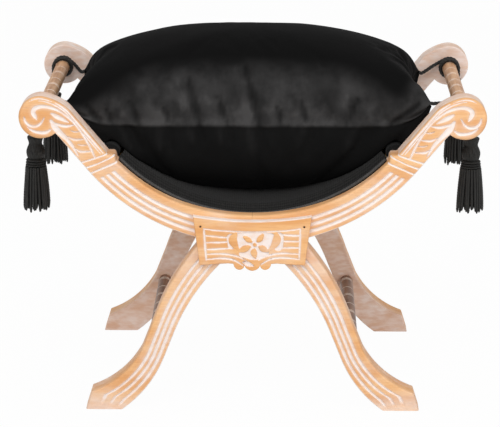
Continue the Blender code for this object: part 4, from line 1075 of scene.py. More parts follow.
# %% Blowing up the flat panels
FLAT_HALF = (0.335, 0.215)
BAG_COLUMNS = 97
BAG_ROWS = 65
CLOTH_FRAMES = 28
CLOTH_SETTINGS = {
    "quality": 6, "mass": 0.25, "tension_stiffness": 18.0, "compression_stiffness": 12.0,
    "shear_stiffness": 5.0, "bending_stiffness": 0.35, "tension_damping": 8.0, "compression_damping": 8.0,
    "air_damping": 3.0, "use_pressure": True, "uniform_pressure_force": 5.0,
}
BAG_GAP = 0.006
BAG_UNEVENNESS = 0.0015
PUCKER_REACH = 4
PUCKER_LIMIT = 0.005


def unit_grid(columns, rows):
    """The places of a grid as two arrays, each from -1 to 1."""
    return np.meshgrid(np.linspace(-1, 1, columns), np.linspace(-1, 1, rows))


def both_faces(upper, lower):
    """One grid over the upper face and back under the lower one."""
    return np.concatenate((upper, lower[:, -2::-1]), axis=1)


def blown_up():
    """The corners of two flat panels of cloth, sewn at the rim and blown up."""
    s, t = unit_grid(BAG_COLUMNS, BAG_ROWS)
    gap = BAG_GAP * (1 - s ** 8) * (1 - t ** 8)
    uneven = BAG_UNEVENNESS * np.sin(9.0 * s + 1.3) * np.sin(7.0 * t + 0.4) * (1 - s ** 2) * (1 - t ** 2)
    upper = np.stack((FLAT_HALF[0] * s, FLAT_HALF[1] * t, gap + uneven), axis=-1)
    lower = np.stack((FLAT_HALF[0] * s, FLAT_HALF[1] * t, -gap + uneven), axis=-1)
    places = both_faces(upper, lower)
    rows, columns = places.shape[:2]
    bag = close_up(add_grid("cushion_bag", places, place_number=np.arange(rows * columns, dtype=float)))
    cloth = bag.modifiers.new("cloth", "CLOTH")
    for name, value in CLOTH_SETTINGS.items():
        setattr(cloth.settings, name, value)
    cloth.settings.effector_weights.gravity = 0.0
    cloth.collision_settings.use_collision = False
    cloth.point_cache.frame_start = 1
    cloth.point_cache.frame_end = CLOTH_FRAMES
    for step in range(1, CLOTH_FRAMES + 1):
        bpy.context.scene.frame_set(step)
    bpy.ops.object.modifier_apply(modifier=cloth.name)
    bpy.context.scene.frame_set(1)
    count = len(bag.data.vertices)
    found = np.empty(count * 3, np.float32)
    bag.data.vertices.foreach_get("co", found)
    numbers = np.empty(count, np.float32)
    bag.data.attributes["place_number"].data.foreach_get("value", numbers)
    blown = np.full((rows * columns, 3), np.nan)
    blown[numbers.round().astype(int)] = found.reshape(-1, 3)
    blown = blown.reshape(rows, columns, 3)
    mirror = np.arange(columns)[::-1]
    for row in (0, -1):
        missing = np.isnan(blown[row, :, 0])
        blown[row, missing] = blown[row, mirror[missing]]
    missing = np.isnan(blown[:, :, 0])
    blown[missing] = blown[:, mirror][missing]
    bpy.data.objects.remove(bag)
    return blown


def smoothed(grid, axis, reach):
    """A grid blurred along one of its axes, with its ends kept in place."""
    weights = np.exp(-0.5 * (np.arange(-3 * reach, 3 * reach + 1) / reach) ** 2)
    weights /= weights.sum()
    grid = np.moveaxis(grid, axis, 0)
    pad = 3 * reach
    ends = np.concatenate((2 * grid[0] - grid[pad:0:-1], grid, 2 * grid[-1] - grid[-2:-pad - 2:-1]))
    blurred = sum(weight * ends[step:step + len(grid)] for step, weight in enumerate(weights))
    return np.moveaxis(blurred, 0, axis)


def puckers(face):
    """What a blown-up face has beyond its smoothed copies, taken along the nearer rim, and softly limited."""
    s, t = unit_grid(BAG_COLUMNS, BAG_ROWS)
    by_side = (s ** 4 / (s ** 4 + t ** 4 + 1e-6))[..., None]
    along_rows = face - smoothed(face, 1, PUCKER_REACH)
    along_columns = face - smoothed(face, 0, PUCKER_REACH)
    extra = (1 - by_side) * along_rows + by_side * along_columns
    size = np.linalg.norm(extra, axis=-1, keepdims=True)
    return extra * PUCKER_LIMIT / np.sqrt(PUCKER_LIMIT ** 2 + size ** 2)


bag = blown_up()
bag_puckers = np.array((puckers(bag[:, :BAG_COLUMNS]), puckers(bag[:, :BAG_COLUMNS - 2:-1])))
print("blown-up bag measures", np.ptp(bag.reshape(-1, 3), axis=0).round(3))
print("puckers up to", round(np.linalg.norm(bag_puckers, axis=-1).max() / MM, 1), "mm")

# %% [markdown]
# The finished cushion is a finer grid on the imported form. It takes the puckers, a crease on both sides of the
# seam, and as strokes the folds that the photograph shows rising from it, in millimetres along the seam and
# in from it. A band along the front of the upper face is paler, partly from the brushing of the pile and
# partly as painted light. Painted shade darkens each fold and a painted highlight lies on the fold's left
# flank, and the lower face has a little painted light towards its front. An attribute on the mesh keeps this
# for the finish. Both faces have the same values at the seam, where their corners are merged.

# %% The finished cushion
CUSHION_COLUMNS = 129
CUSHION_ROWS = 85
CREASE_WIDTH = 0.006
CREASE_DEPTH = 0.0030
FOLD_DEPTH = 0.0045
FOLD_FLANK = 3
# Painted shade in the folds, and a painted highlight on each fold's left flank, on the upper and the lower
# face.
PAINTED_FOLD_SHADE = 0.6
PAINTED_FLANK_HIGHLIGHT = 0.4
# The band: a paler strip along the front of the upper face, partly the brushing of the pile, partly painted
# light.
BAND_TOP = -0.48
BAND_END_DROP = 0.28
BAND_RIGHT_RISE = 0.40
BAND_FAINT = 0.62
# A little painted light on the lower face towards its front.
LOWER_FRONT_PAINTED_LIGHT = 0.06
LOWER_PAINTED_FLANK_HIGHLIGHT = 0.08
CUSHION_SHADING = 70.0
UPPER_FOLDS = [
    [(-70, 1, 3), (-76, 30, 8), (-88, 80, 3)],
    [(14, 1, 3), (8, 35, 8), (-6, 92, 3)],
    [(-156, 1, 3), (-162, 20, 7), (-170, 46, 2)],
    [(-214, 2, 4), (-224, 22, 9), (-236, 52, 3)],
    [(-196, 2, 3), (-200, 16, 6), (-206, 34, 2)],
    [(205, 2, 4), (228, 26, 9), (252, 60, 3)],
    [(82, 1, 2), (78, 18, 6), (74, 38, 2)],
    [(140, 1, 2), (146, 22, 7), (156, 52, 2)],
    [(-112, 1, 2), (-116, 16, 5), (-124, 36, 2)],
    [(-30, 1, 2), (-36, 18, 6), (-44, 44, 2)],
    [(46, 1, 2), (44, 14, 5), (40, 30, 2)],
]
LOWER_FOLDS = [
    [(-113, 1, 2), (-112, 20, 7), (-108, 44, 2)],
    [(-70, 1, 2), (-68, 14, 6), (-62, 30, 2)],
    [(15, 1, 3), (19, 26, 8), (24, 58, 2)],
    [(-170, 1, 3), (-164, 20, 7), (-154, 44, 2)],
    [(168, 1, 3), (162, 20, 7), (150, 44, 2)],
    [(92, 1, 2), (90, 16, 6), (86, 34, 2)],
    [(-28, 1, 2), (-26, 12, 5), (-24, 28, 2)],
]


def resampled(grid, rows, columns):
    """A grid of vectors, read at other numbers of rows and columns."""
    old_rows, old_columns = grid.shape[:2]
    row, column = np.linspace(0, old_rows - 1, rows), np.linspace(0, old_columns - 1, columns)
    r, c = np.minimum(row.astype(int), old_rows - 2), np.minimum(column.astype(int), old_columns - 2)
    down, over = (row - r)[:, None, None], (column - c)[None, :, None]
    above = grid[r][:, c] * (1 - over) + grid[r][:, c + 1] * over
    below = grid[r + 1][:, c] * (1 - over) + grid[r + 1][:, c + 1] * over
    return above * (1 - down) + below * down


def dressed_face(side, extra, folds):
    """One face of the cushion with its puckers, creases and folds, and how deep in a fold each place lies."""
    shares_u, _ = even_shares(CUSHION_COLUMNS, True)
    shares_v, _ = even_shares(CUSHION_ROWS, False)
    face = pillow(*np.meshgrid(shares_u, shares_v), side)
    s, t = unit_grid(CUSHION_COLUMNS, CUSHION_ROWS)
    along = s * PANEL_WIDTH / 2
    from_front, from_rear = (1 + t) * PANEL_DEPTH / 2, (1 - t) * PANEL_DEPTH / 2
    from_rim = np.minimum(np.minimum(from_front, from_rear), (1 - np.abs(s)) * PANEL_WIDTH / 2)
    normal = side * np.cross(np.gradient(face, axis=1), np.gradient(face, axis=0))
    normal /= np.maximum(np.linalg.norm(normal, axis=-1, keepdims=True), 1e-9)
    inward = CREASE_DEPTH * from_rim / CREASE_WIDTH * np.exp(1 - from_rim / CREASE_WIDTH)
    folded = np.zeros_like(along)
    for distance, mirror in ((from_front, 1), (from_rear, -1)):
        for fold in folds:
            deep = np.clip(gouge(mirror * along / MM, distance / MM, fold), 0.0, 1.0)
            inward = inward + FOLD_DEPTH * deep ** 1.5
            folded = np.maximum(folded, deep)
    return face + resampled(extra, CUSHION_ROWS, CUSHION_COLUMNS) - inward[..., None] * normal, folded


upper, upper_folded = dressed_face(1, bag_puckers[0], UPPER_FOLDS)
lower, lower_folded = dressed_face(-1, bag_puckers[1], LOWER_FOLDS)
lower[..., 2] = np.maximum(lower[..., 2], np.minimum(sling_height(lower[..., 0]) + SOFT_GAP, upper[..., 2]))
s, t = unit_grid(CUSHION_COLUMNS, CUSHION_ROWS)
# Painted light, with the brushing of the pile, in a band along the front of the upper face.
band_top = BAND_TOP - BAND_END_DROP * smooth_step(np.abs(s), 0.42, 0.86)
into_band = band_top + BAND_RIGHT_RISE * smooth_step(s, 0.66, 0.82) - t
brushed_and_painted_light = BAND_FAINT * smooth_step(into_band, 0.0, 0.26)
brushed_and_painted_light = brushed_and_painted_light + (1 - BAND_FAINT) * smooth_step(into_band, 0.28, 0.52)
# Painted shade in each fold and a painted highlight on its left flank.
upper_flank_highlight, lower_flank_highlight = (np.roll(folded, -FOLD_FLANK, axis=1) for folded in (upper_folded, lower_folded))
upper_nap = np.clip(brushed_and_painted_light * (1.0 - PAINTED_FOLD_SHADE * upper_folded + PAINTED_FLANK_HIGHLIGHT * upper_flank_highlight), 0.0, 1.0)
lower_nap = LOWER_FRONT_PAINTED_LIGHT * smooth_step(t, -0.5, -1.0) + LOWER_PAINTED_FLANK_HIGHLIGHT * lower_flank_highlight
for over, under in ((upper, lower), (upper_nap, lower_nap)):
    for row in (0, -1):
        under[row] = over[row]
    for column in (0, -1):
        under[:, column] = over[:, column]
cushion = add_grid("cushion_velvet", both_faces(upper, lower), nap=both_faces(upper_nap, lower_nap))
close_up(cushion, CUSHION_SHADING)
subdivide = cushion.modifiers.new("smoother", "SUBSURF")
subdivide.levels = 1
subdivide.render_levels = 1
bpy.ops.object.modifier_apply(modifier=subdivide.name)
carry(cushion, "cushion", "velvet", "cushion_top_panel", "cushion_bottom_panel", "cushion_filling")
print("cushion faces", len(cushion.data.polygons))

# %% [markdown]
# ## Ties and knots
# A black three-ply cord leaves each corner of the cushion, goes to the handrail, winds round it two and a
# quarter times and hangs down to a knot. The cord's route is the imported solid's. Its plies are in the section
# of the tube.

# %% Ties
CORD_RADIUS = 0.003
CORD_PITCH = 0.016
TIE_TURNS = 2.25
TIE_PITCH = 0.0068
TIE_STANDOFF = 0.010
TIE_BOW = 0.001
KNOT_RADIUS = 0.005
KNOT_LOOP = 0.0031
KNOT_CORD_RADIUS = 0.0019
KNOT_DROP = 0.018
LOOP_POINTS = 24
WIND_RADIUS = HANDRAIL_RADIUS + CORD_RADIUS + SOFT_GAP


def knot_place(end, side):
    y = INNER_FACE - TIE_STANDOFF - TIE_PITCH * TIE_TURNS
    return np.array((side * (SCROLL_CENTRE[0] + WIND_RADIUS), end * y, SCROLL_CENTRE[1] - KNOT_DROP))


def tie_route(end, side):
    """A tie's points: from the cushion's corner to the handrail, round it and down to the knot."""
    ear = pillow(np.array(side), np.array(end), 1)
    points = [ear + (side * (SOFT_GAP + 2 * CORD_RADIUS * step), 0.0, 0.0) for step in (0, 1)]
    away, above = side * points[1][0] - SCROLL_CENTRE[0], points[1][2] - SCROLL_CENTRE[1]
    touch_angle = math.atan2(above, away) % math.tau - math.acos(WIND_RADIUS / math.hypot(away, above))
    turns = TIE_TURNS + touch_angle / math.tau - 0.25
    hang = knot_place(end, side)
    turns_left = np.linspace(turns, 0.0, round(turns * LOOP_POINTS) + 1)
    winding = np.stack((side * (SCROLL_CENTRE[0] + WIND_RADIUS * np.cos(math.tau * turns_left)),
                        hang[1] + end * TIE_PITCH * turns_left,
                        SCROLL_CENTRE[1] + WIND_RADIUS * np.sin(math.tau * turns_left)), axis=-1)
    points.append((points[1] + winding[0]) / 2 + (0.0, 0.0, TIE_BOW))
    points += list(winding)
    for height in (2 * CORD_RADIUS, 0.0):
        points.append(hang + (0.0, 0.0, KNOT_RADIUS + SOFT_GAP + height))
    return ear, np.array(points)


def knot_line(size):
    """A trefoil, closed on itself."""
    turn = np.linspace(0.0, 2 * math.pi, 73)
    return size / 3 * np.stack((np.sin(turn) + 2 * np.sin(2 * turn), np.cos(turn) - 2 * np.cos(2 * turn),
                                -1.6 * np.sin(3 * turn)), axis=-1)


ties, knots = [], []
for corner, (end, side) in CORNERS.items():
    ear, route = tie_route(end, side)
    line = even_path(through(route), 300)
    places = tube_places(line, CORD_RADIUS, 18, plies=3, pitch=CORD_PITCH, groove=0.26)
    tie = round_piece(f"{corner}_tie_plied", places)
    places = tube_places(knot_place(end, side) + knot_line(KNOT_LOOP), KNOT_CORD_RADIUS, 12)
    knot = carry(round_piece(f"{corner}_knot_tied", places), "frame", "black_trim", f"{corner}_knot")
    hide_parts(f"{corner}_tie_cord")
    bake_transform(tie)
    ties.append(tie)
    knots.append(knot)

# %% [markdown]
# ## Tassels
# Below its knot each tassel has a short cord, a flared cap, a round head covered with lengthwise threads, a
# wound binding and a skirt of twisted bullion strands, of which some hang lower than others. The head and the
# binding are turned grids with ribs, and the strands are slim tubes of two plies round a dark core.

# %% Tassels
TASSEL_CORD = 0.019
HEAD_LENGTH = 0.037
HEAD_RADIUS = 0.0145
BINDING_RADIUS = 0.0165
BINDING_LENGTH = 0.012
BINDING_FLARE = 0.0014
BINDING_CORD = 0.0026
SKIRT_RADIUS = 0.022
SKIRT_LENGTH = 0.072
STRAND_RADIUS = 0.0022
STRAND_PITCH = 0.0085
STRAND_TIP = 0.005
STRAND_SPREAD = 0.2
STRAND_SHORTER = 0.009
STRAND_SWAY = 0.0018
STRAND_SET_IN = 0.0012
HEAD_TOP = -KNOT_RADIUS - SOFT_GAP - TASSEL_CORD
BINDING_TOP = HEAD_TOP - HEAD_LENGTH - SOFT_GAP
SKIRT_TOP = BINDING_TOP - BINDING_LENGTH - SOFT_GAP
HEAD_OUTLINE = [
    (0.0026, TASSEL_CORD), (0.0028, 0.006), (0.0048, 0.0004), (0.0114, -0.0014), (0.0126, -0.0034),
    (0.0120, -0.0062), (0.0106, -0.0110), (0.0106, -0.0145), (0.0126, -0.0190), (HEAD_RADIUS, -0.0255),
    (0.0140, -0.0320), (0.0122, -HEAD_LENGTH),
]
SKIRT_CORE_LENGTH = 0.056
SKIRT_ROUNDS = ((8, 0.005, 0.008), (14, 0.0100, 0.0145), (25, 0.0146, SKIRT_RADIUS - STRAND_RADIUS))
FIRST_SEED = 7


def ribbed_turning(name, place, heights, radii, ribs_round, rib_depth, lean=0.0):
    """A turned piece about a vertical line, with ribs that run down it, leaning or straight."""
    turn = np.linspace(0.0, 2 * math.pi, 97)[None]
    phase = ribs_round / 2 * turn + lean * np.asarray(heights)[:, None]
    reach = np.asarray(radii)[:, None] * (1 - rib_depth + rib_depth * np.abs(np.cos(phase)))
    places = np.stack((place[0] + reach * np.cos(turn), place[1] + reach * np.sin(turn),
                       np.broadcast_to(place[2] + np.asarray(heights)[:, None], reach.shape)), axis=-1)
    return round_piece(name, places)


def head_outline():
    """The head's heights and radii, from its cord down to its neck."""
    outline = through(HEAD_OUTLINE)
    return HEAD_TOP + outline[:, 1], outline[:, 0]


def binding_outline():
    """The heights and radii of three turns of cord, each a little wider than the one above."""
    share = np.linspace(0.0, 1.0, 43)
    bulge = np.abs(np.sin(share * 3 * math.pi)) ** 0.6
    radius = BINDING_RADIUS - BINDING_FLARE * (1 - share) - BINDING_CORD * (1 - bulge)
    return BINDING_TOP - BINDING_LENGTH * share, radius


def strand(name, top, angle, inner, outer, length, sway):
    """One twisted strand: it leans out, hangs straight and ends in a slim tip."""
    share = np.linspace(0.0, 1.0, 54)
    reach = inner + (outer - inner) * np.sin(share * math.pi / 2)
    aside = sway * share ** 2
    line = top + np.stack((math.cos(angle) * reach - math.sin(angle) * aside,
                           math.sin(angle) * reach + math.cos(angle) * aside, -length * share), axis=-1)
    radius = STRAND_RADIUS * (0.35 + 0.65 * np.sqrt(np.clip((1.0 - share) * length / STRAND_TIP, 0.0, 1.0)))
    return round_piece(name, tube_places(line, radius, 9, plies=2, pitch=STRAND_PITCH, groove=0.24))


def skirt(name, place, seed):
    """All the strands of one skirt, joined, round a core that fills the middle."""
    chance = random.Random(seed)
    top = np.array(place) + (0.0, 0.0, SKIRT_TOP)
    core_share = np.linspace(0.0, 1.0, 14)
    core = ribbed_turning(name, top, -SKIRT_CORE_LENGTH * core_share, 0.0125 + 0.003 * core_share, 24, 0.10)
    pieces = [core]
    for count, inner, outer in SKIRT_ROUNDS:
        for index in range(count):
            angle = 2 * math.pi * (index + chance.uniform(-STRAND_SPREAD, STRAND_SPREAD)) / count
            length = SKIRT_LENGTH - chance.uniform(0.0, STRAND_SHORTER)
            sway = chance.uniform(-STRAND_SWAY, STRAND_SWAY)
            reach = outer - chance.uniform(0.0, STRAND_SET_IN)
            pieces.append(strand(f"{name}_strand", top, angle, inner, reach, length, sway))
    deselect()
    for piece in pieces:
        piece.select_set(True)
    bpy.context.view_layer.objects.active = core
    bpy.ops.object.join()
    return core


tassels = []
for number, (corner, (end, side)) in enumerate(CORNERS.items()):
    place = knot_place(end, side)
    head = ribbed_turning(f"{corner}_tassel_head_threads", place, *head_outline(), 36, 0.07, 60.0)
    binding = ribbed_turning(f"{corner}_tassel_binding_wound", place, *binding_outline(), 34, 0.10, 500.0)
    fringe = skirt(f"{corner}_tassel_skirt_strands", place, number + FIRST_SEED)
    for piece, part in ((head, "head"), (binding, "binding"), (fringe, "skirt")):
        tassels.append(carry(piece, f"{corner}_tassel", "black_trim", f"{corner}_tassel_{part}"))
print("tassel pieces", len(tassels), "skirt faces", len(tassels[-1].data.polygons))

# %% [markdown]
# ## Shader arithmetic
# Finishes are sums and products of noise, masks and attributes. A small class wraps a node's output, so that
# such a sum can be written as an expression, and one method adds any other node.

# %% A wire with arithmetic
class Wire:
    """An output socket in a node tree. Arithmetic on it adds Math nodes."""

    def __init__(self, tree, socket=None):
        self.tree = tree
        self.socket = socket

    def node(self, kind, settings=None, inputs=None, output=0):
        """Add a node: its type, its settings, the values or wires of its sockets, and the output to use."""
        node = self.tree.nodes.new(kind)
        for key, value in (settings or {}).items():
            setattr(node, key, value)
        for key, value in (inputs or {}).items():
            if isinstance(value, Wire):
                self.tree.links.new(value.socket, node.inputs[key])
            else:
                node.inputs[key].default_value = value
        return Wire(self.tree, node.outputs[output] if node.outputs else None)

    def maths(self, operation, first, second):
        return self.node("ShaderNodeMath", {"operation": operation}, {0: first, 1: second})

    def __add__(self, other):
        return self.maths("ADD", self, other)

    def __rsub__(self, other):
        return self.maths("SUBTRACT", other, self)

    def __mul__(self, other):
        return self.maths("MULTIPLY", self, other)

    __radd__ = __add__
    __rmul__ = __mul__

    def clamp(self):
        return self.node("ShaderNodeClamp", None, {0: self})

    def between(self, low, high):
        """0 below low, 1 above high, and smooth between."""
        smooth = {"interpolation_type": "SMOOTHSTEP"}
        return self.node("ShaderNodeMapRange", smooth, {0: self, 1: low, 2: high})

    def mix(self, first, second):
        """A colour between two, by this wire."""
        return self.node("ShaderNodeMix", {"data_type": "RGBA"}, {0: self, 6: first, 7: second}, 2)

    def attribute(self, name):
        return self.node("ShaderNodeAttribute", {"attribute_name": name}, None, 2)

    def place(self, scale):
        """Object coordinates, scaled along each axis."""
        spot = self.node("ShaderNodeTexCoord", None, None, 3)
        return self.node("ShaderNodeMapping", None, {0: spot, 3: scale})

    def noise(self, scale, detail):
        inputs = {"Vector": self.place(scale), "Scale": 1.0, "Detail": detail}
        return self.node("ShaderNodeTexNoise", None, inputs)

    def weave(self, along, over, distortion):
        """Two sets of threads that cross, by their scales along y and along x."""
        threads = []
        for direction, scale in (("Y", along), ("X", over)):
            settings = {"wave_type": "BANDS", "bands_direction": direction}
            inputs = {"Vector": self.place((1.0, 1.0, 1.0)), "Scale": scale}
            inputs.update({"Distortion": distortion, "Detail": 1.0})
            threads.append(self.node("ShaderNodeTexWave", settings, inputs, 1))
        return threads[0] * 0.5 + threads[1] * 0.5

    def bump(self, height, distance, strength):
        inputs = {"Height": height, "Distance": distance, "Strength": strength}
        return self.node("ShaderNodeBump", None, inputs)


def srgb(red, green, blue):
    """A colour written as on a colour picker, 0 to 255, for a shader."""
    parts = [value / 255 for value in (red, green, blue)]
    linear = [part / 12.92 if part <= 0.04045 else ((part + 0.055) / 1.055) ** 2.4 for part in parts]
    return (*linear, 1.0)


def new_finish(name):
    """An empty material and the wire to build it with."""
    material = bpy.data.materials.new(name)
    material.use_nodes = True
    material.node_tree.nodes.clear()
    return material, Wire(material.node_tree)


def finish_with(wire, inputs):
    """End a finish with the Principled shader and the output."""
    surface = wire.node("ShaderNodeBsdfPrincipled", None, inputs)
    wire.node("ShaderNodeOutputMaterial", None, {"Surface": surface})


def dress(pieces, material):
    for piece in pieces:
        piece.data.materials.clear()
        piece.data.materials.append(material)


print("shader helpers ready")

# %% [markdown]
# ## Limed oak
# Honey-coloured oak, rubbed with white paste that stays in the cuts and in the open pores and leaves a thin
# milky film in patches. The back faces have a mottled pinkish wash. The grain is noise, drawn out along x.

# %% Limed oak
def limed_oak():
    material, wire = new_finish("limed_oak_carved")
    growth = wire.noise((9.0, 60.0, 60.0), 4.0)
    fibre = wire.noise((45.0, 600.0, 600.0), 3.0)
    pores = wire.noise((90.0, 1500.0, 1500.0), 2.0).between(0.60, 0.72)
    patches = wire.noise((14.0, 22.0, 22.0), 3.0).between(0.42, 0.75)
    smears = wire.noise((60.0, 160.0, 160.0), 3.0)
    wood = growth.between(0.30, 0.72).mix(srgb(228, 163, 99), srgb(243, 191, 133))
    wood = (fibre.between(0.35, 0.75) * 0.32).mix(wood, srgb(206, 138, 80))
    cut = wire.attribute("lime")
    lime = (cut * (0.40 + 1.05 * smears) + 0.42 * patches * smears + 0.14 * pores).clamp()
    colour = lime.mix(wood, srgb(242, 230, 224))
    washed = wire.attribute("wash") * (0.66 + 0.5 * smears)
    mottle = patches * 0.5 + smears.between(0.32, 0.68) * 0.5
    colour = washed.clamp().mix(colour, mottle.mix(srgb(220, 180, 158), srgb(248, 232, 225)))
    rough = 0.46 + 0.22 * lime + 0.10 * fibre
    finish_with(wire, {
        "Base Color": colour, "Roughness": rough, "Specular IOR Level": 0.35,
        "Normal": wire.bump(fibre * 0.6 + pores * -0.5 + smears * 0.5, 0.0004, 0.7)})
    return material


dress([*arms, *legs, *plaques], limed_oak())
print("limed oak on", len(arms) + len(legs) + len(plaques), "pieces")

# %% [markdown]
# ## Turned oak
# The rods are browner than the boards, because the lime was wiped off the smooth turning and stayed in the
# rings. Their grain runs along the rod. The stretchers take a darker copy of the oak, as painted shade under
# the seat.

# %% Turned oak
def turned_oak(name, pale, dark):
    material, wire = new_finish(name)
    growth = wire.noise((160.0, 14.0, 160.0), 3.0)
    fibre = wire.noise((900.0, 60.0, 900.0), 3.0)
    smears = wire.noise((90.0, 40.0, 90.0), 3.0)
    wood = (growth.between(0.3, 0.75) * 0.8 + fibre * 0.2).mix(pale, dark)
    lime = (wire.attribute("lime") * 0.95 + smears.between(0.55, 0.8) * 0.24).clamp()
    colour = lime.mix(wood, srgb(240, 226, 214))
    finish_with(wire, {
        "Base Color": colour, "Roughness": 0.42 + 0.25 * lime, "Specular IOR Level": 0.4,
        "Normal": wire.bump(fibre, 0.0003, 0.5)})
    return material


dress(handrails, turned_oak("handrail_oak", srgb(226, 178, 134), srgb(178, 126, 88)))
# A darker copy of the oak for the stretchers: painted shade under the seat.
dress(stretchers, turned_oak("stretcher_oak_painted_shade", srgb(160, 118, 92), srgb(104, 72, 54)))
print("rods finished")

# %% [markdown]
# ## Velvet, seat cloth and black trim
# Velvet is nearly black. An attribute on the mesh makes it paler in a band along the front, partly from the
# brushing of the pile and partly as painted light, with painted highlights on fold flanks and painted shade in
# the folds. A trace of sheen catches the light at its edges. The seat cloth is a coarse ribbed weave in
# charcoal, darker on the rolls as painted shade under the cushion. Cords and tassels are a silky black yarn,
# and the braid is a paler one.

# %% Black cloths
def velvet():
    material, wire = new_finish("cushion_velvet")
    pile = wire.noise((1400.0, 1400.0, 1400.0), 2.0)
    streaks = wire.noise((40.0, 40.0, 20.0), 4.0)
    crushed = wire.noise((26.0, 30.0, 26.0), 4.0)
    uneven = 0.36 + streaks.between(0.35, 0.72) * 0.36 + crushed.between(0.36, 0.70) * 0.56
    # The attribute brings the painted light, the painted shade and the brushing of the pile into the colour.
    shade = (wire.attribute("nap") * uneven).clamp()
    colour = shade.mix(srgb(15, 15, 15), srgb(67, 66, 66))
    finish_with(wire, {
        "Base Color": colour, "Roughness": 0.90 - 0.15 * shade, "Specular IOR Level": 0.04,
        "Sheen Weight": 0.025, "Sheen Roughness": 0.35, "Sheen Tint": (0.80, 0.78, 0.80, 1.0),
        "Normal": wire.bump(pile * 0.5 + streaks, 0.0008, 0.6)})
    return material


def ribbed_cloth(name, dark, pale):
    material, wire = new_finish(name)
    fleck = wire.noise((700.0, 700.0, 700.0), 2.0)
    wear = wire.noise((18.0, 18.0, 18.0), 3.0)
    weave = wire.weave(110.0, 95.0, 0.6)
    colour = (weave * 0.55 + fleck.between(0.45, 0.75) * 0.45).clamp().mix(dark, pale)
    finish_with(wire, {
        "Base Color": colour, "Roughness": 0.80 + 0.12 * wear, "Specular IOR Level": 0.15,
        "Sheen Weight": 0.04, "Normal": wire.bump(weave + fleck * 0.4, 0.0007, 0.8)})
    return material


def silky_yarn(name, dark, pale):
    material, wire = new_finish(name)
    thread = wire.noise((1600.0, 1600.0, 500.0), 2.0)
    worn = wire.noise((80.0, 80.0, 80.0), 3.0)
    colour = (thread.between(0.42, 0.74) * 0.7 + worn * 0.3).clamp().mix(dark, pale)
    finish_with(wire, {
        "Base Color": colour, "Roughness": 0.40 + 0.2 * thread, "Specular IOR Level": 0.36,
        "Sheen Weight": 0.04, "Normal": wire.bump(thread, 0.0005, 0.8)})
    return material


dress([cushion], velvet())
dress([cover], ribbed_cloth("seat_ribbed_cloth", srgb(18, 18, 18), srgb(54, 53, 52)))
# The rolls take a darker copy of the seat cloth: painted shade under the cushion.
dress(rolls, ribbed_cloth("roll_ribbed_cloth_painted_shade", srgb(9, 9, 9), srgb(26, 26, 26)))
dress([*ties, *knots, *tassels], silky_yarn("black_yarn", srgb(3, 3, 3), srgb(42, 40, 35)))
dress(braids, silky_yarn("braid_yarn", srgb(30, 30, 30), srgb(104, 102, 100)))
print("black cloths finished")

# %% [markdown]
# ## Hidden and small finishes
# Underneath, jute webbing and a hessian base cloth show between the rails. The nails are dark steel. The
# loose tenons are beech and the pad is foam, both out of sight, and they are finished all the same.

# %% Webbing, base cloth, foam, beech and nails
def woven(name, pale, dark, threads_x, threads_y, depth):
    material, wire = new_finish(name)
    slub = wire.noise((160.0, 300.0, 160.0), 3.0)
    weave = wire.weave(threads_y, threads_x, 1.0)
    finish_with(wire, {
        "Base Color": (weave * 0.6 + slub * 0.4).clamp().mix(dark, pale), "Roughness": 0.86 + 0.1 * slub,
        "Specular IOR Level": 0.2, "Normal": wire.bump(weave + slub * 0.3, depth, 0.8)})
    return material


def plain_wood(name, pale, dark):
    material, wire = new_finish(name)
    fleck = wire.noise((60.0, 400.0, 400.0), 3.0)
    finish_with(wire, {
        "Base Color": fleck.between(0.3, 0.75).mix(pale, dark), "Roughness": 0.5 + 0.15 * fleck,
        "Normal": wire.bump(fleck, 0.0003, 0.5)})
    return material


def dark_steel():
    material, wire = new_finish("nail_dark_steel")
    rust = wire.noise((900.0, 900.0, 900.0), 3.0)
    finish_with(wire, {
        "Base Color": rust.between(0.4, 0.8).mix(srgb(58, 54, 50), srgb(92, 66, 48)),
        "Metallic": 1 - 0.7 * rust.between(0.45, 0.8), "Roughness": 0.38 + 0.4 * rust,
        "Normal": wire.bump(rust, 0.0002, 0.6)})
    return material


def open_foam():
    material, wire = new_finish("pad_foam")
    spot = wire.place((700.0, 700.0, 700.0))
    cells = wire.node("ShaderNodeTexVoronoi", None, {"Vector": spot, "Scale": 1.0})
    finish_with(wire, {
        "Base Color": cells.mix(srgb(196, 176, 124), srgb(236, 222, 178)), "Roughness": 0.95,
        "Normal": wire.bump(cells, 0.0006, 0.7)})
    return material


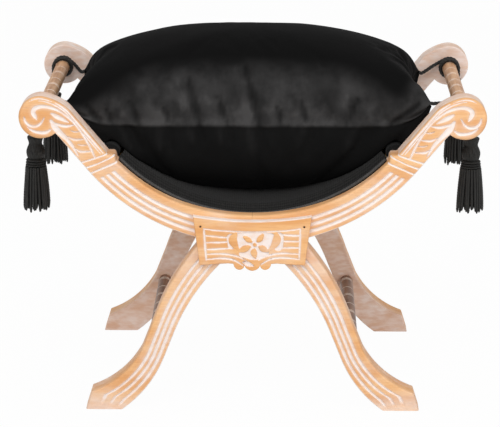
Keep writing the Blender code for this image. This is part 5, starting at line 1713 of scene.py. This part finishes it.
dress(straps, woven("jute_webbing", srgb(196, 172, 128), srgb(128, 102, 66), 330.0, 150.0, 0.0006))
dress([base_cloth], woven("hessian", srgb(178, 148, 104), srgb(116, 90, 58), 220.0, 220.0, 0.0005))
dress([pad], open_foam())
beech = plain_wood("beech", srgb(214, 176, 132), srgb(186, 142, 98))
nail_steel = dark_steel()
for node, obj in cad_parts.items():
    if node.endswith("_tenon"):
        dress([obj], beech)
    elif node.endswith("_nail"):
        dress([obj], nail_steel)
print("small finishes done")

# %% [markdown]
# ## Floor and light
# The photograph shows the bench on plain white. A wide floor fills the view. For the camera it is mostly
# self-lit white, with enough of the real floor mixed in to keep the soft shadow. Even light from all round
# and two large soft lamps, the stronger from the upper left, give the shapes.

# %% Floor and light
FLOOR_SIZE = 30.0
FLOOR_DROP = 0.0005
SELF_LIT = 0.97
DAYLIGHT = 0.55
WHITE = (1.0, 1.0, 1.0, 1.0)
PAPER = (0.80, 0.80, 0.80, 1.0)
LAMP_TARGET = Vector((0.0, 0.0, 0.3))
deselect()
bpy.ops.mesh.primitive_plane_add(size=FLOOR_SIZE, location=(0.0, 0.0, -FLOOR_DROP))
floor = bpy.context.object
floor.name = "floor"
material, wire = new_finish("floor_white")
paper = wire.node("ShaderNodeBsdfDiffuse", None, {"Color": PAPER})
glow = wire.node("ShaderNodeEmission", None, {"Color": WHITE, "Strength": 1.0})
seen = wire.node("ShaderNodeLightPath", None, None, "Is Camera Ray")
for ray in ("Is Glossy Ray", "Is Transmission Ray"):
    seen = seen + wire.node("ShaderNodeLightPath", None, None, ray)
both = wire.node("ShaderNodeMixShader", None, {0: seen.clamp() * SELF_LIT, 1: paper, 2: glow})
wire.node("ShaderNodeOutputMaterial", None, {"Surface": both})
dress([floor], material)

world = bpy.data.worlds.new("studio")
world.use_nodes = True
background = world.node_tree.nodes["Background"].inputs
background["Color"].default_value = WHITE
background["Strength"].default_value = DAYLIGHT
bpy.context.scene.world = world


def add_lamp(name, place, size, power):
    deselect()
    bpy.ops.object.light_add(type="AREA", location=place)
    lamp = bpy.context.object
    lamp.name = name
    lamp.rotation_euler = (LAMP_TARGET - Vector(place)).to_track_quat("-Z", "Y").to_euler()
    lamp.data.size = size
    lamp.data.energy = power


add_lamp("key_lamp", (-0.9, -2.8, 2.9), 2.4, 64.0)
add_lamp("fill_lamp", (2.4, -2.4, 1.8), 2.0, 34.0)
print("floor and light ready")
